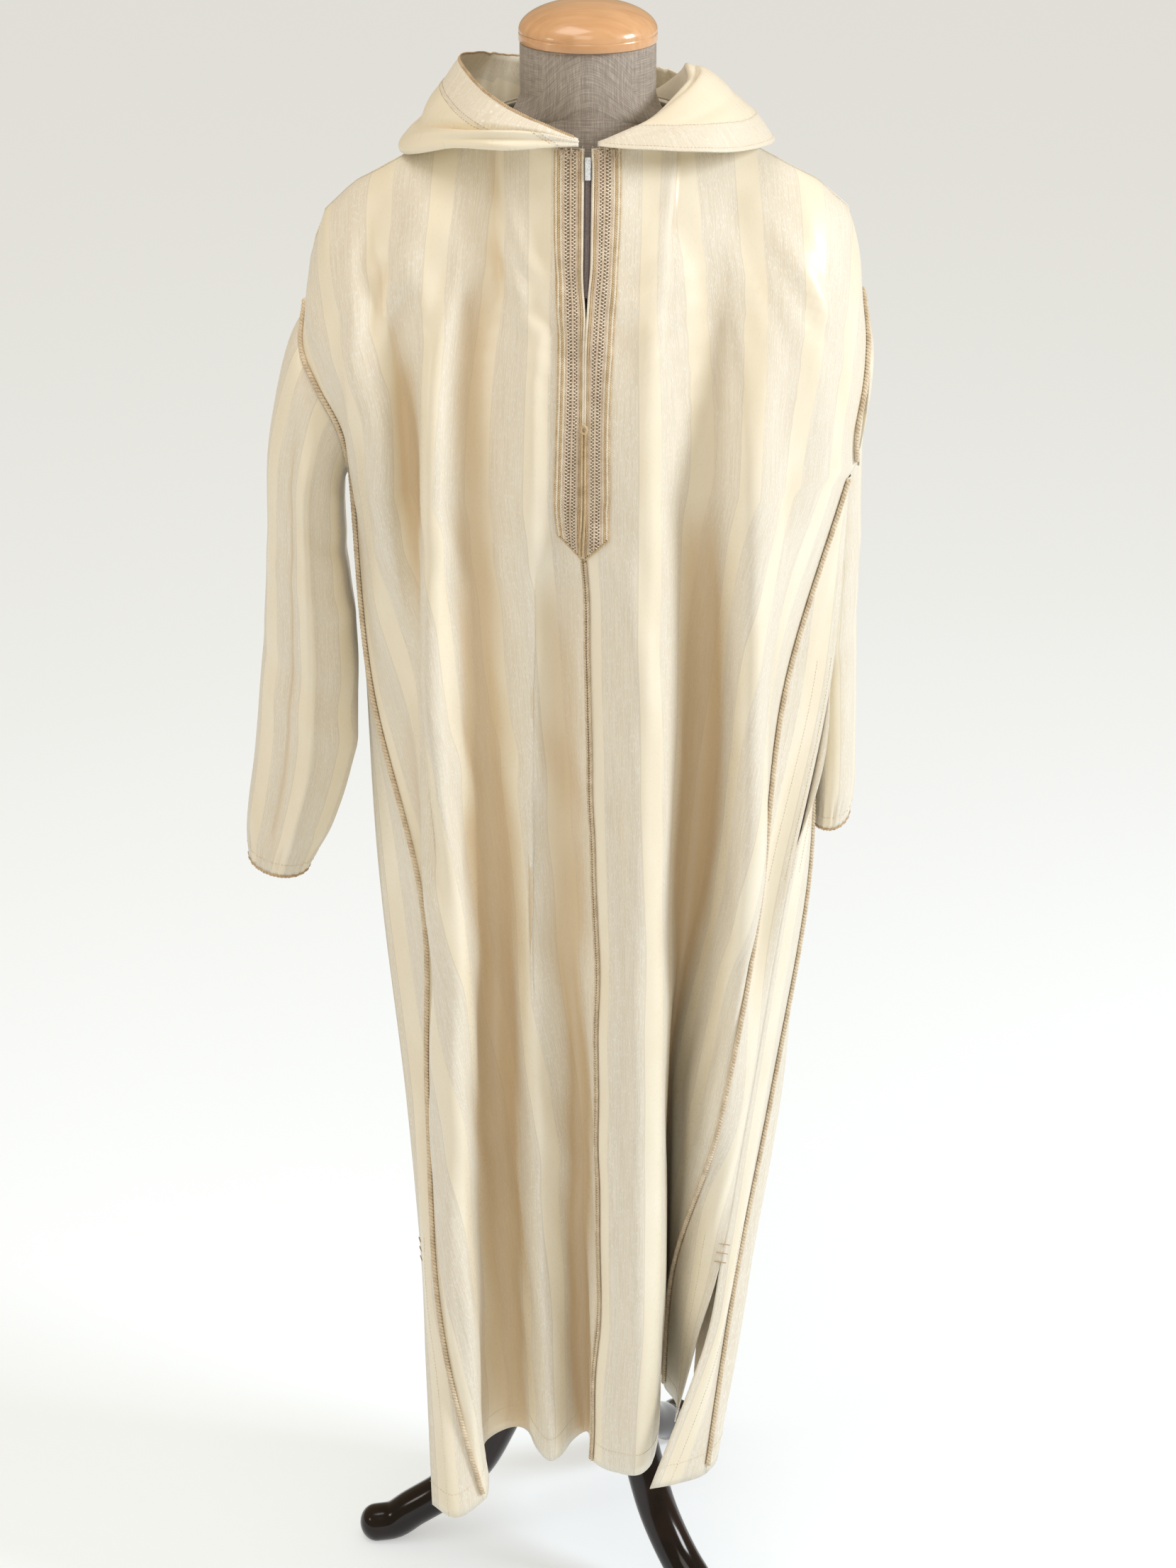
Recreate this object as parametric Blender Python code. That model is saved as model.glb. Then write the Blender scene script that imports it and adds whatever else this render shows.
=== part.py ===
"""Hooded robe with a braided front placket, standing on a dress form with a tripod.

The body of the robe is two straight panels, front and back, with a gore on each side of
each side seam.  One table gives the run of every fold line down the front and one down
the back.  A smooth section through them at any height is the cloth at that height.
Above the chest the cloth runs over the shoulders to the neck.  Metres, +Z up, the
wearer's front towards -Y.
"""

import math

import bmesh
import bpy
import numpy as np
from mathutils import Vector

COLLECTION = "hooded_robe_on_dress_form"

CLOTH = 0.0016
SEAM_GAP = 0.0004
REST_GAP = 0.0004
CORD = 0.0050
BRAID_WALL = 0.0014

PANEL_HALF_WIDTH = 0.330
SHOULDER_NECK_HALF = 0.078
CHEST_Z = 1.140
LEVELS = (0.200, 0.350, 0.550, 0.750, 0.950, CHEST_Z)

# Fold lines of the front, from the left side seam to the right one.  Each row gives the
# place (x, y) in millimetres at the hem, knee, thigh, hip, waist and chest.
FRONT = (
    ("side_left", (-146, -214), (-153, -160), (-168, -95), (-191, -40), (-201, -2), (-208, -14)),
    ("gore_fold_left", (-124, -226), (-146, -176), (-158, -104), (-172, -60), (-200, -26), (-208, -18)),
    ("cord_left", (-98, -208), (-133, -186), (-146, -112), (-150, -92), (-193, -50), (-207, -22)),
    ("turn_left", (-92, -202), (-120, -192), (-144, -138), (-128, -86), (-172, -78), (-196, -62)),
    ("ridge_outer_left", (-90, -180), (-103, -190), (-140, -158), (-137, -148), (-150, -96), (-177, -102)),
    ("dip_outer_left", (-97, -140), (-97, -160), (-126, -168), (-128, -156), (-138, -100), (-152, -88)),
    ("ridge_left", (-96, -112), (-93, -110), (-112, -166), (-115, -154), (-136, -142), (-133, -122)),
    ("valley_left", (-68, -104), (-74, -92), (-86, -92), (-86, -98), (-92, -102), (-96, -108)),
    ("ridge_inner_left", (-36, -166), (-42, -148), (-46, -142), (-52, -140), (-50, -134), (-46, -130)),
    ("valley_centre_left", (-1, -112), (-8, -106), (-10, -106), (-20, -118), (-24, -122), (-24, -128)),
    ("centre_front", (4, -160), (10, -156), (9, -152), (3, -148), (-3, -140), (-4, -130)),
    ("ridge_centre_right", (42, -182), (42, -172), (42, -164), (40, -158), (42, -148), (44, -135)),
    ("edge_centre_right", (59, -166), (64, -164), (64, -156), (66, -148), (70, -138), (74, -122)),
    ("valley_right", (66, 14), (72, 6), (76, -28), (93, -62), (104, -78), (106, -104)),
    ("ridge_right", (72, -10), (80, -50), (96, -100), (134, -140), (142, -134), (142, -130)),
    ("turn_right", (74, -24), (80, -64), (110, -138), (148, -134), (156, -116), (180, -104)),
    ("cord_right", (76, -38), (82, -78), (120, -146), (151, -119), (174, -71), (226, -50)),
    ("gore_fold_right", (86, -66), (94, -124), (140, -138), (158, -96), (198, -56), (230, -43)),
    ("side_right", (84, -98), (108, -148), (148, -112), (178, -92), (218, -44), (230, -36)),
)

# Fold lines of the back, from the right side seam round to the left one.
BACK = (
    ("vent_back_right", (58, -208), (116, -156), (148, -112), (178, -92), (218, -44), (230, -36)),
    ("gore_fold_back_right", (86, -196), (128, -150), (162, -94), (194, -64), (214, -34), (228, -32)),
    ("cord_back_right", (110, -184), (134, -120), (172, -62), (202, -30), (204, -20), (222, -26)),
    ("ridge_side_right", (124, -150), (152, -92), (186, -24), (192, 6), (188, 12), (202, -4)),
    ("dip_side_right", (104, -104), (126, -44), (156, 18), (172, 38), (176, 42), (184, 32)),
    ("ridge_far_right", (134, -62), (148, -8), (164, 48), (166, 74), (168, 78), (172, 76)),
    ("dip_far_right", (106, -14), (116, 28), (126, 66), (132, 82), (138, 88), (144, 82)),
    ("ridge_near_right", (112, 42), (118, 78), (114, 104), (110, 116), (112, 116), (116, 110)),
    ("dip_near_right", (74, 60), (76, 74), (78, 86), (80, 96), (84, 102), (88, 96)),
    ("ridge_centre_back_right", (56, 106), (56, 112), (54, 120), (52, 126), (50, 124), (50, 119)),
    ("dip_centre_back", (22, 88), (22, 94), (22, 102), (22, 110), (24, 112), (24, 108)),
    ("centre_back", (-4, 112), (-4, 114), (-2, 118), (0, 122), (0, 122), (0, 116)),
    ("dip_centre_back_left", (-32, 82), (-30, 92), (-28, 102), (-26, 110), (-26, 112), (-26, 108)),
    ("ridge_centre_back_left", (-62, 96), (-60, 110), (-56, 120), (-54, 124), (-52, 122), (-52, 118)),
    ("dip_near_left", (-82, 40), (-82, 64), (-84, 84), (-86, 94), (-88, 98), (-90, 94)),
    ("ridge_near_left", (-120, 44), (-122, 74), (-118, 100), (-114, 112), (-112, 114), (-116, 108)),
    ("dip_far_left", (-112, -12), (-118, 24), (-128, 60), (-134, 76), (-138, 84), (-144, 80)),
    ("ridge_far_left", (-142, -46), (-150, 2), (-162, 46), (-166, 70), (-166, 76), (-170, 74)),
    ("dip_side_left", (-118, -92), (-130, -38), (-152, 14), (-170, 36), (-176, 44), (-182, 38)),
    ("ridge_side_left", (-140, -128), (-150, -76), (-166, -18), (-184, 14), (-190, 22), (-196, 14)),
    ("cord_back_left", (-116, -158), (-138, -104), (-162, -54), (-188, -10), (-197, 12), (-206, -6)),
    ("gore_fold_back_left", (-124, -174), (-144, -124), (-164, -76), (-192, -26), (-202, 6), (-208, -8)),
    ("vent_back_left", (-138, -178), (-150, -136), (-168, -95), (-191, -40), (-201, -2), (-208, -14)),
)

# The hem isn't level: where it drops, as bumps along x.
HEM_DIPS = (
    # name, centre x, half width, drop, on the front
    ("flap_left", -0.122, 0.040, 0.022, True),
    ("centre", 0.030, 0.045, 0.004, True),
    ("flap_right", 0.085, 0.035, 0.004, False),
)

VENT_TOP = 0.415
VENT_EASE = 0.100
POCKET_LOW = 0.800
POCKET_HIGH = 0.940
POCKET_GAPE = 0.008

# Shoulder line from the neck outwards: half distance across the cloth, then x and z.
SHOULDER = (
    ("neck", 0.078, 0.077, 1.4520),
    ("rise", 0.118, 0.117, 1.4360),
    ("middle", 0.162, 0.158, 1.4140),
    ("slope", 0.205, 0.197, 1.3930),
    ("tip", 0.240, 0.226, 1.3680),
    ("drop", 0.285, 0.240, 1.3250),
    ("armhole", 0.330, 0.245, 1.2820),
)
NECK_FRONT_Y = -0.0740
NECK_FRONT_Z = 1.4370
NECK_BACK_Y = 0.0760
NECK_BACK_Z = 1.4500

# The armhole seam below the shoulder line: share of the way down, x, y and z.
ARMHOLE_FRONT_LEFT = (
    (0.00, -0.2450, 0.0000, 1.2820),
    (0.25, -0.2470, -0.0300, 1.2500),
    (0.50, -0.2330, -0.0520, 1.2220),
    (0.75, -0.2150, -0.0480, 1.1860),
    (1.00, -0.2070, -0.0220, 1.1400),
)
ARMHOLE_FRONT_RIGHT = (
    (0.00, 0.2380, 0.0100, 1.2900),
    (0.25, 0.2420, -0.0180, 1.2550),
    (0.50, 0.2400, -0.0380, 1.2180),
    (0.75, 0.2340, -0.0480, 1.1800),
    (1.00, 0.2360, -0.0380, 1.1480),
)
ARMHOLE_BACK_LEFT = (
    (0.00, -0.2450, 0.0000, 1.2820),
    (0.25, -0.2460, 0.0300, 1.2500),
    (0.50, -0.2350, 0.0520, 1.2200),
    (0.75, -0.2190, 0.0400, 1.1820),
    (1.00, -0.2060, -0.0060, 1.1400),
)
ARMHOLE_BACK_RIGHT = (
    (0.00, 0.2380, 0.0100, 1.2900),
    (0.25, 0.2400, 0.0440, 1.2550),
    (0.50, 0.2340, 0.0620, 1.2200),
    (0.75, 0.2260, 0.0360, 1.1820),
    (1.00, 0.2360, -0.0380, 1.1480),
)

# Sleeve sections below the armhole: centre x, y, z, half width, half depth, and how
# much higher the outer side is than the middle.
SLEEVE_LEFT = (
    ("underarm", -0.2370, 0.0020, 1.1920, 0.0220, 0.0600, 0.0640),
    ("upper", -0.2490, 0.0020, 1.1400, 0.0300, 0.0640, 0.0340),
    ("above_elbow", -0.2510, 0.0000, 1.0600, 0.0340, 0.0620, 0.0120),
    ("elbow", -0.2520, -0.0040, 0.9550, 0.0420, 0.0560, 0.0060),
    ("forearm", -0.2600, -0.0160, 0.8650, 0.0430, 0.0500, 0.0060),
    ("wrist", -0.2760, -0.0320, 0.8000, 0.0350, 0.0440, 0.0060),
    ("cuff", -0.2830, -0.0400, 0.7720, 0.0270, 0.0400, 0.0060),
)
SLEEVE_RIGHT = (
    ("underarm", 0.2415, 0.0140, 1.1940, 0.0072, 0.0580, 0.0600),
    ("upper", 0.2265, 0.0460, 1.1350, 0.0195, 0.0540, 0.0340),
    ("above_elbow", 0.2255, 0.0500, 1.0600, 0.0205, 0.0600, 0.0100),
    ("elbow", 0.2250, 0.0480, 0.9550, 0.0210, 0.0640, 0.0040),
    ("forearm", 0.2270, 0.0380, 0.8700, 0.0200, 0.0620, 0.0040),
    ("wrist", 0.2260, 0.0240, 0.8200, 0.0200, 0.0520, 0.0040),
    ("cuff", 0.2240, 0.0160, 0.7960, 0.0180, 0.0460, 0.0040),
)

# Hood sections round the neck, from the zip to the centre back.  The angle is in
# degrees from the front; each pair is a radius from the neck axis and a height.  The
# first edge of each section is sewn to the neckline.
HOOD_LEFT = (
    # angle, sole, outer roll, return, opening edge
    (6, (0.0785, 1.4400), (0.0810, 1.4420), (0.0810, 1.4445), (0.0790, 1.4465)),
    (30, (0.0920, 1.4415), (0.1030, 1.4435), (0.0990, 1.4530), (0.0860, 1.4600)),
    (58, (0.1080, 1.4450), (0.1300, 1.4390), (0.1220, 1.4540), (0.0960, 1.4760)),
    (85, (0.1220, 1.4420), (0.1560, 1.4230), (0.1380, 1.4520), (0.1080, 1.4960)),
    (112, (0.1200, 1.4380), (0.1560, 1.4170), (0.1460, 1.4480), (0.1080, 1.4930)),
    (140, (0.1240, 1.4200), (0.1720, 1.3500), (0.1820, 1.3900), (0.1120, 1.4820)),
    (162, (0.1320, 1.4000), (0.1680, 1.2600), (0.1980, 1.3300), (0.1120, 1.4740)),
    (179.6, (0.1340, 1.3900), (0.1580, 1.1700), (0.2000, 1.2900), (0.1120, 1.4720)),
)
HOOD_RIGHT = (
    # angle, stand, crease, fall, opening edge
    (6, (0.0780, 1.4420), (0.0800, 1.4440), (0.0830, 1.4440), (0.0860, 1.4420)),
    (30, (0.0800, 1.4530), (0.0870, 1.4570), (0.1000, 1.4500), (0.1100, 1.4410)),
    (58, (0.0830, 1.4680), (0.0940, 1.4740), (0.1220, 1.4560), (0.1420, 1.4350)),
    (85, (0.0860, 1.4800), (0.1000, 1.4850), (0.1320, 1.4580), (0.1580, 1.4280)),
    (112, (0.0880, 1.4800), (0.1060, 1.4790), (0.1400, 1.4520), (0.1640, 1.4250)),
    (140, (0.1040, 1.4540), (0.1460, 1.4300), (0.1720, 1.4220), (0.1500, 1.4540)),
    (162, (0.1280, 1.4080), (0.1640, 1.2900), (0.1940, 1.3500), (0.1200, 1.4720)),
    (179.6, (0.1340, 1.3900), (0.1580, 1.1700), (0.2000, 1.2900), (0.1120, 1.4720)),
)
HOOD_SEAM_LIFT = 0.0022
HOOD_SEAM_OUT = 0.0008

# Placket: two braided bands beside the zip, joined in a point below the slit.
PLACKET_TOP_Z = 1.432
PLACKET_POINT_Z = 1.094
PLACKET_SHOULDER_Z = 1.113
PLACKET_INNER = 0.0032
PLACKET_OUTER = 0.0232
ZIP_END_Z = 1.318
ZIP_SLIT = 0.0030
ZIP_TAPE_HALF = 0.0100
ZIP_CHAIN = 0.0030
ZIP_TAPE_WALL = 0.0010
ZIP_TOP_Z = 1.4300
# Width, length and thickness of the slider and of the pull that hangs on it.
SLIDER = (0.0050, 0.0090, 0.0042)
PULL = (0.0046, 0.0190, 0.0013)
KNOT_Z = 1.2060
KNOT_CORD = 0.0030
ARMHOLE_CORD_IN = 0.0036

# Dress form: height, then half width and half depth of the torso.
TORSO = (
    (0.7900, 0.1160, 0.0640),
    (0.7980, 0.1260, 0.0720),
    (0.8700, 0.1300, 0.0760),
    (0.9700, 0.1200, 0.0740),
    (1.0800, 0.1360, 0.0820),
    (1.2000, 0.1580, 0.0820),
    (1.2900, 0.1780, 0.0660),
    (1.3400, 0.1900, 0.0440),
    (1.3696, 0.1950, 0.0320),
    (1.3886, 0.1900, 0.0240),
    (1.3996, 0.1798, 0.0150),
    (1.4106, 0.1593, 0.0160),
    (1.4246, 0.1330, 0.0170),
    (1.4356, 0.1115, 0.0190),
    (1.4446, 0.0840, 0.0260),
    (1.4540, 0.0640, 0.0540),
    (1.4650, 0.0590, 0.0555),
    (1.5121, 0.0580, 0.0550),
)
CAP_RADIUS = 0.0590
CAP_BAND = 0.0090
CAP_DOME = 0.0251
CAP_Z = TORSO[-1][0] + REST_GAP

POLE_RADIUS = 0.0160
HUB_RADIUS = 0.0270
HUB_LOW = 0.1850
HUB_HIGH = 0.2600
LEG_RADIUS = 0.0190
LEG_ANGLES = (("left", 180.0), ("front", -52.0), ("back", 64.0))
LEG_PATH = (
    # distance from the pole, height of the leg's axis
    (0.0277, 0.2240),
    (0.0370, 0.2240),
    (0.0530, 0.2130),
    (0.0700, 0.1800),
    (0.0890, 0.1350),
    (0.1120, 0.0900),
    (0.1450, 0.0540),
    (0.1780, 0.0310),
    (0.1960, 0.0180),
    (0.2140, 0.0145),
)

CLOTH_ROWS = (0.0, 0.5, 1.0, 1.5, 2.0, 2.35, 2.7, 3.0, 3.5, 4.0, 4.5, 5.0)
YOKE_ROWS = (0.22, 0.44, 0.66, 0.84, 1.0)
FRONT_STEPS = 3
BACK_STEPS = 2
HOOD_ROWS = 15
HOOD_STEPS = 13


def hermite(knots, values, at):
    """A smooth curve through rows of values, read at the given places."""
    knots = np.asarray(knots, float)
    values = np.asarray(values, float)
    at = np.atleast_1d(np.asarray(at, float))
    gaps = np.diff(knots)
    rates = np.diff(values, axis=0) / gaps.reshape((-1,) + (1,) * (values.ndim - 1))
    slopes = np.empty_like(values)
    slopes[0] = rates[0]
    slopes[-1] = rates[-1]
    before = gaps[:-1].reshape((-1,) + (1,) * (values.ndim - 1))
    after = gaps[1:].reshape((-1,) + (1,) * (values.ndim - 1))
    slopes[1:-1] = (rates[:-1] * after + rates[1:] * before) / (before + after)
    span = np.clip(np.searchsorted(knots, at, side="right") - 1, 0, len(gaps) - 1)
    shape = (-1,) + (1,) * (values.ndim - 1)
    step = gaps[span].reshape(shape)
    s = ((at - knots[span]) / gaps[span]).reshape(shape)
    return (
        values[span] * (2 * s**3 - 3 * s**2 + 1)
        + slopes[span] * step * (s**3 - 2 * s**2 + s)
        + values[span + 1] * (3 * s**2 - 2 * s**3)
        + slopes[span + 1] * step * (s**3 - s**2)
    )


def smooth(low, high, value):
    """0 below low, 1 above high, with a soft start and end."""
    share = np.clip((np.asarray(value, float) - low) / (high - low), 0.0, 1.0)
    return share * share * (3 - 2 * share)


def names_of(table):
    return [row[0] for row in table]


def section(table, z, steps):
    """The cloth's run at one height: points, and the index of each fold line."""
    lines = np.array([row[1:] for row in table], float) / 1000.0
    places = hermite(LEVELS, lines.transpose(1, 0, 2), z)[0]
    chords = np.linalg.norm(np.diff(places, axis=0), axis=1)
    knots = np.concatenate([[0.0], np.cumsum(np.sqrt(np.maximum(chords, 1e-4)))])
    at = []
    for low, high in zip(knots[:-1], knots[1:]):
        at.extend(np.linspace(low, high, steps, endpoint=False))
    at.append(knots[-1])
    run = hermite(knots, places, at)
    return np.column_stack([run, np.full(len(run), z)])


def hem_drop(x, front):
    drop = np.zeros_like(x)
    for _, centre, half, depth, on_front in HEM_DIPS:
        if on_front == front:
            drop += depth * np.exp(-(((x - centre) / half) ** 2))
    return drop


def body_grid(table, steps, rows, front):
    """Rows of sections from the hem to the chest."""
    heights = np.interp(rows, range(len(LEVELS)), LEVELS)
    grid = np.array([section(table, z, steps) for z in heights])
    fade = 1.0 - smooth(0.0, 1.2, np.asarray(rows))
    drop = hem_drop(grid[:, :, 0], front)
    grid[:, :, 2] -= drop * fade[:, None]
    return grid


def across(row, centre):
    """Distance along a row of points from its centre point, less than 0 before it."""
    lengths = np.linalg.norm(np.diff(row, axis=0), axis=1)
    total = np.concatenate([[0.0], np.cumsum(lengths)])
    return total - total[centre]


def cloth_place(row, first, centre, last):
    """The place of each point of a panel across the cut cloth, from its centre line."""
    run = across(row, centre)
    left = np.interp(run, [run[first], 0.0], [-PANEL_HALF_WIDTH, 0.0])
    right = np.interp(run, [0.0, run[last]], [0.0, PANEL_HALF_WIDTH])
    return np.where(run < 0, left, right)


def top_line(place, neck_y, neck_z):
    """The upper edge of a panel: the neckline, then the shoulder line."""
    size = np.abs(place)
    side = np.sign(place)
    table = np.array([row[1:] for row in SHOULDER])
    x = np.interp(size, np.r_[0.0, table[:, 0]], np.r_[0.0, table[:, 1]])
    z = np.interp(size, table[:, 0], table[:, 2])
    turn = np.clip(size / SHOULDER_NECK_HALF, 0.0, 1.0)
    y = neck_y * np.cos(turn * math.pi / 2)
    z = np.where(turn < 1.0, neck_z + (table[0, 2] - neck_z) * turn**2, z)
    x = np.where(turn < 1.0, SHOULDER[0][2] * np.sin(turn * math.pi / 2), x)
    return np.column_stack([x * side, y, z])


def yoke_grid(chest, place, shares, neck_y, neck_z, seams):
    """Rows above the chest, from the chest row up to the neck and shoulder line."""
    top = top_line(place, neck_y, neck_z)
    ends = [np.array(seam[0][1:]) for seam in seams]
    weight_end = smooth(0.20, PANEL_HALF_WIDTH, np.abs(place))[:, None]
    end = np.where(place[:, None] < 0, ends[0], ends[1])
    top = top + (end - top_line(np.sign(place) * PANEL_HALF_WIDTH, neck_y, neck_z)) * weight_end
    toward = math.copysign(1.0, -neck_y)
    neckness = 1.0 - smooth(0.02, 0.08, np.abs(place))
    reach = np.linalg.norm(top - chest, axis=1)
    start = np.column_stack([np.zeros_like(reach), np.zeros_like(reach), reach * 1.0])
    lean = np.column_stack([
        np.zeros_like(reach),
        toward * reach * (0.62 - 0.34 * neckness),
        reach * 0.75 * neckness,
    ])
    rows = []
    for share in shares:
        s = share
        row = (
            chest * (2 * s**3 - 3 * s**2 + 1)
            + start * (s**3 - 2 * s**2 + s)
            + top * (3 * s**2 - 2 * s**3)
            + lean * (s**3 - s**2)
        )
        for seam, index, sign in ((seams[0], 0, -1), (seams[1], -1, 1)):
            table = np.array(seam)
            target = hermite(table[:, 0], table[:, 1:], 1.0 - share)[0]
            pull = smooth(0.20, PANEL_HALF_WIDTH, place * sign)[:, None]
            row = row + (target - row[index]) * pull
        rows.append(row)
    return np.array(rows)


def normals(grid, outward):
    """Unit normals of a grid of points, on the side of the outward point."""
    down = np.gradient(grid, axis=0)
    along = np.gradient(grid, axis=1)
    normal = np.cross(along, down)
    normal /= np.maximum(np.linalg.norm(normal, axis=2, keepdims=True), 1e-12)
    return normal * outward


def pulled_in(grid, edges, gap):
    """The grid with chosen edges drawn in, so that pieces stay apart at a seam."""
    grid = grid.copy()
    for edge in edges:
        if edge in ("first", "last"):
            a, b = (0, 1) if edge == "first" else (-1, -2)
            step = grid[:, b] - grid[:, a]
            size = np.maximum(np.linalg.norm(step, axis=1, keepdims=True), 1e-9)
            grid[:, a] += step / size * np.minimum(gap, size * 0.4)
        else:
            a, b = (0, 1) if edge == "low" else (-1, -2)
            step = grid[b] - grid[a]
            size = np.maximum(np.linalg.norm(step, axis=1, keepdims=True), 1e-9)
            grid[a] += step / size * np.minimum(gap, size * 0.4)
    return grid


def material(name, colour, roughness, metallic=0.0):
    made = bpy.data.materials.get(name) or bpy.data.materials.new(name)
    made.use_nodes = True
    shader = made.node_tree.nodes["Principled BSDF"]
    shader.inputs["Base Color"].default_value = (*colour, 1.0)
    shader.inputs["Roughness"].default_value = roughness
    shader.inputs["Metallic"].default_value = metallic
    return made


def add_object(name, mesh, finish, is_smooth=True):
    thing = bpy.data.objects.new(name, mesh)
    bpy.data.collections[COLLECTION].objects.link(thing)
    mesh.materials.append(finish)
    if is_smooth:
        mesh.shade_smooth()
    return thing


def wall(name, grid, normal, thickness, finish, round_it=False):
    """A closed wall on a grid of points, half its thickness to each side."""
    rows, columns = grid.shape[:2]
    outer = grid + normal * thickness / 2
    inner = grid - normal * thickness / 2
    mesh = bpy.data.meshes.new(name)
    build = bmesh.new()
    layers = [[[build.verts.new(p) for p in row] for row in layer] for layer in (outer, inner)]
    last = columns if round_it else columns - 1
    for r in (0, rows - 1):
        for c in range(last):
            d = (c + 1) % columns
            build.faces.new((layers[0][r][c], layers[1][r][c], layers[1][r][d], layers[0][r][d]))
    if not round_it:
        for c in (0, columns - 1):
            for r in range(rows - 1):
                build.faces.new(
                    (layers[0][r][c], layers[1][r][c], layers[1][r + 1][c], layers[0][r + 1][c])
                )
    for r in range(rows - 1):
        for c in range(last):
            d = (c + 1) % columns
            for index, layer in enumerate(layers):
                corners = [layer[r][c], layer[r][d], layer[r + 1][d], layer[r + 1][c]]
                build.faces.new(corners if index == 0 else corners[:1] + corners[:0:-1])
    bmesh.ops.recalc_face_normals(build, faces=build.faces)
    build.to_mesh(mesh)
    build.free()
    return add_object(name, mesh, finish)


def tube(name, points, radius, finish, sides=1):
    """A round cord or bar along a run of points, with closed ends."""
    curve = bpy.data.curves.new(name, "CURVE")
    curve.dimensions = "3D"
    curve.bevel_depth = radius
    curve.bevel_resolution = sides
    curve.use_fill_caps = True
    spline = curve.splines.new("POLY")
    spline.points.add(len(points) - 1)
    for place, point in zip(spline.points, points):
        place.co = (*point, 1.0)
    thing = bpy.data.objects.new(name, curve)
    bpy.data.collections[COLLECTION].objects.link(thing)
    curve.materials.append(finish)
    return thing


def seam_cord(name, line, out, finish):
    """A cord lying on a seam, just clear of the cloth."""
    lift = CLOTH / 2 + REST_GAP * 1.4 + CORD / 2 / math.cos(math.pi / 6)
    return tube(name, line + out * lift, CORD / 2, finish)


def turned(name, profile, finish, centre=(0.0, 0.0), steps=32):
    """A turned piece from a profile of radius and height, top to bottom."""
    mesh = bpy.data.meshes.new(name)
    build = bmesh.new()
    points = [build.verts.new((r, 0.0, z)) for r, z in profile]
    edges = [build.edges.new(pair) for pair in zip(points[:-1], points[1:])]
    bmesh.ops.spin(
        build,
        geom=points + edges,
        cent=(0, 0, 0),
        axis=(0, 0, 1),
        angle=2 * math.pi,
        steps=steps,
        use_duplicate=False,
    )
    bmesh.ops.remove_doubles(build, verts=build.verts, dist=0.00002)
    bmesh.ops.recalc_face_normals(build, faces=build.faces)
    bmesh.ops.translate(build, vec=(centre[0], centre[1], 0.0), verts=build.verts)
    build.to_mesh(mesh)
    build.free()
    return add_object(name, mesh, finish)


def lower_cloth():
    """The rows of the front and the back below the chest, joined at the side seams."""
    front = body_grid(FRONT, FRONT_STEPS, CLOTH_ROWS, True)
    back = body_grid(BACK[::-1], BACK_STEPS, CLOTH_ROWS, False)
    heights = np.interp(CLOTH_ROWS, range(len(LEVELS)), LEVELS)
    joined = smooth(VENT_TOP - VENT_EASE, VENT_TOP, heights)[:, None]
    for edge, inward in ((0, 1), (-1, -1)):
        middle = (front[:, edge] + back[:, edge]) / 2
        for grid, steps in ((front, FRONT_STEPS), (back, BACK_STEPS)):
            move = (middle - grid[:, edge]) * joined
            for near in range(steps * 2):
                grid[:, edge + inward * near] += move * (1.0 - near / (steps * 2)) ** 2
    share = np.clip((heights - POCKET_LOW) / (POCKET_HIGH - POCKET_LOW), 0, 1)
    back[:, -1, 0] += POCKET_GAPE * np.sin(share * math.pi)
    return front, back, heights


def body_panels(cloth, cord):
    """Front and back panels, the four gores, and the cords over their seams."""
    gap = SEAM_GAP / 2
    front, back, heights = lower_cloth()
    facings = [normals(front, 1.0), normals(back, -1.0)]
    for column in (0, -1):
        shared = facings[0][:, column] + facings[1][:, column]
        shared /= np.linalg.norm(shared, axis=1, keepdims=True)
        for facing in facings:
            facing[heights > VENT_TOP, column] = shared[heights > VENT_TOP]
    sides = (
        ("front", names_of(FRONT), FRONT_STEPS, front, facings[0],
         ("cord_left", "centre_front", "cord_right"), (NECK_FRONT_Y, NECK_FRONT_Z),
         (ARMHOLE_FRONT_LEFT, ARMHOLE_FRONT_RIGHT), 1.0),
        ("back", names_of(BACK[::-1]), BACK_STEPS, back, facings[1],
         ("cord_back_left", "centre_back", "cord_back_right"), (NECK_BACK_Y, NECK_BACK_Z),
         (ARMHOLE_BACK_LEFT, ARMHOLE_BACK_RIGHT), -1.0),
    )
    made = {}
    for side, names, steps, lower, facing, seam_lines, neck, seams, outward in sides:
        first, middle, last = (names.index(line) * steps for line in seam_lines)
        chest = lower[-1]
        place = cloth_place(chest, first, middle, last)[first:last + 1]
        upper = yoke_grid(chest[first:last + 1], place, YOKE_ROWS, *neck, seams)
        panel = np.concatenate([lower[:, first:last + 1], upper])
        panel_facing = normals(panel, outward)
        panel_facing[:len(CLOTH_ROWS) - 1] = facing[:-1, first:last + 1]
        panel_facing[-1] = shoulder_facing(panel[-1], panel_facing[-1], place)
        cut = middle - first
        if side == "front":
            halves = (("front_left", slice(0, cut + 1)), ("front_right", slice(cut, None)))
        else:
            halves = (("back", slice(0, None)),)
        for name, part in halves:
            grid = pulled_in(panel[:, part], ("first", "last", "high"), gap)
            if side == "front":
                grid = slit(grid, name)
            wall(name, grid, panel_facing[:, part], CLOTH, cloth)
        for name, low, high in (("left", 0, first), ("right", last, lower.shape[1] - 1)):
            grid = pulled_in(lower[:, low:high + 1], ("first", "last", "high"), gap)
            wall(f"gore_{side}_{name}", grid, facing[:, low:high + 1], CLOTH, cloth)
        places = np.array([cloth_place(row, 0, cut, len(row) - 1) for row in panel])
        made[side] = (panel, panel_facing, places)
        below_sleeve = len(CLOTH_ROWS) - 1
        for name, column in (("left", 0), ("right", -1)):
            line = panel[:below_sleeve, column]
            seam_cord(f"cord_{side}_{name}", line, panel_facing[:below_sleeve, column], cord)
    return made


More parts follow.
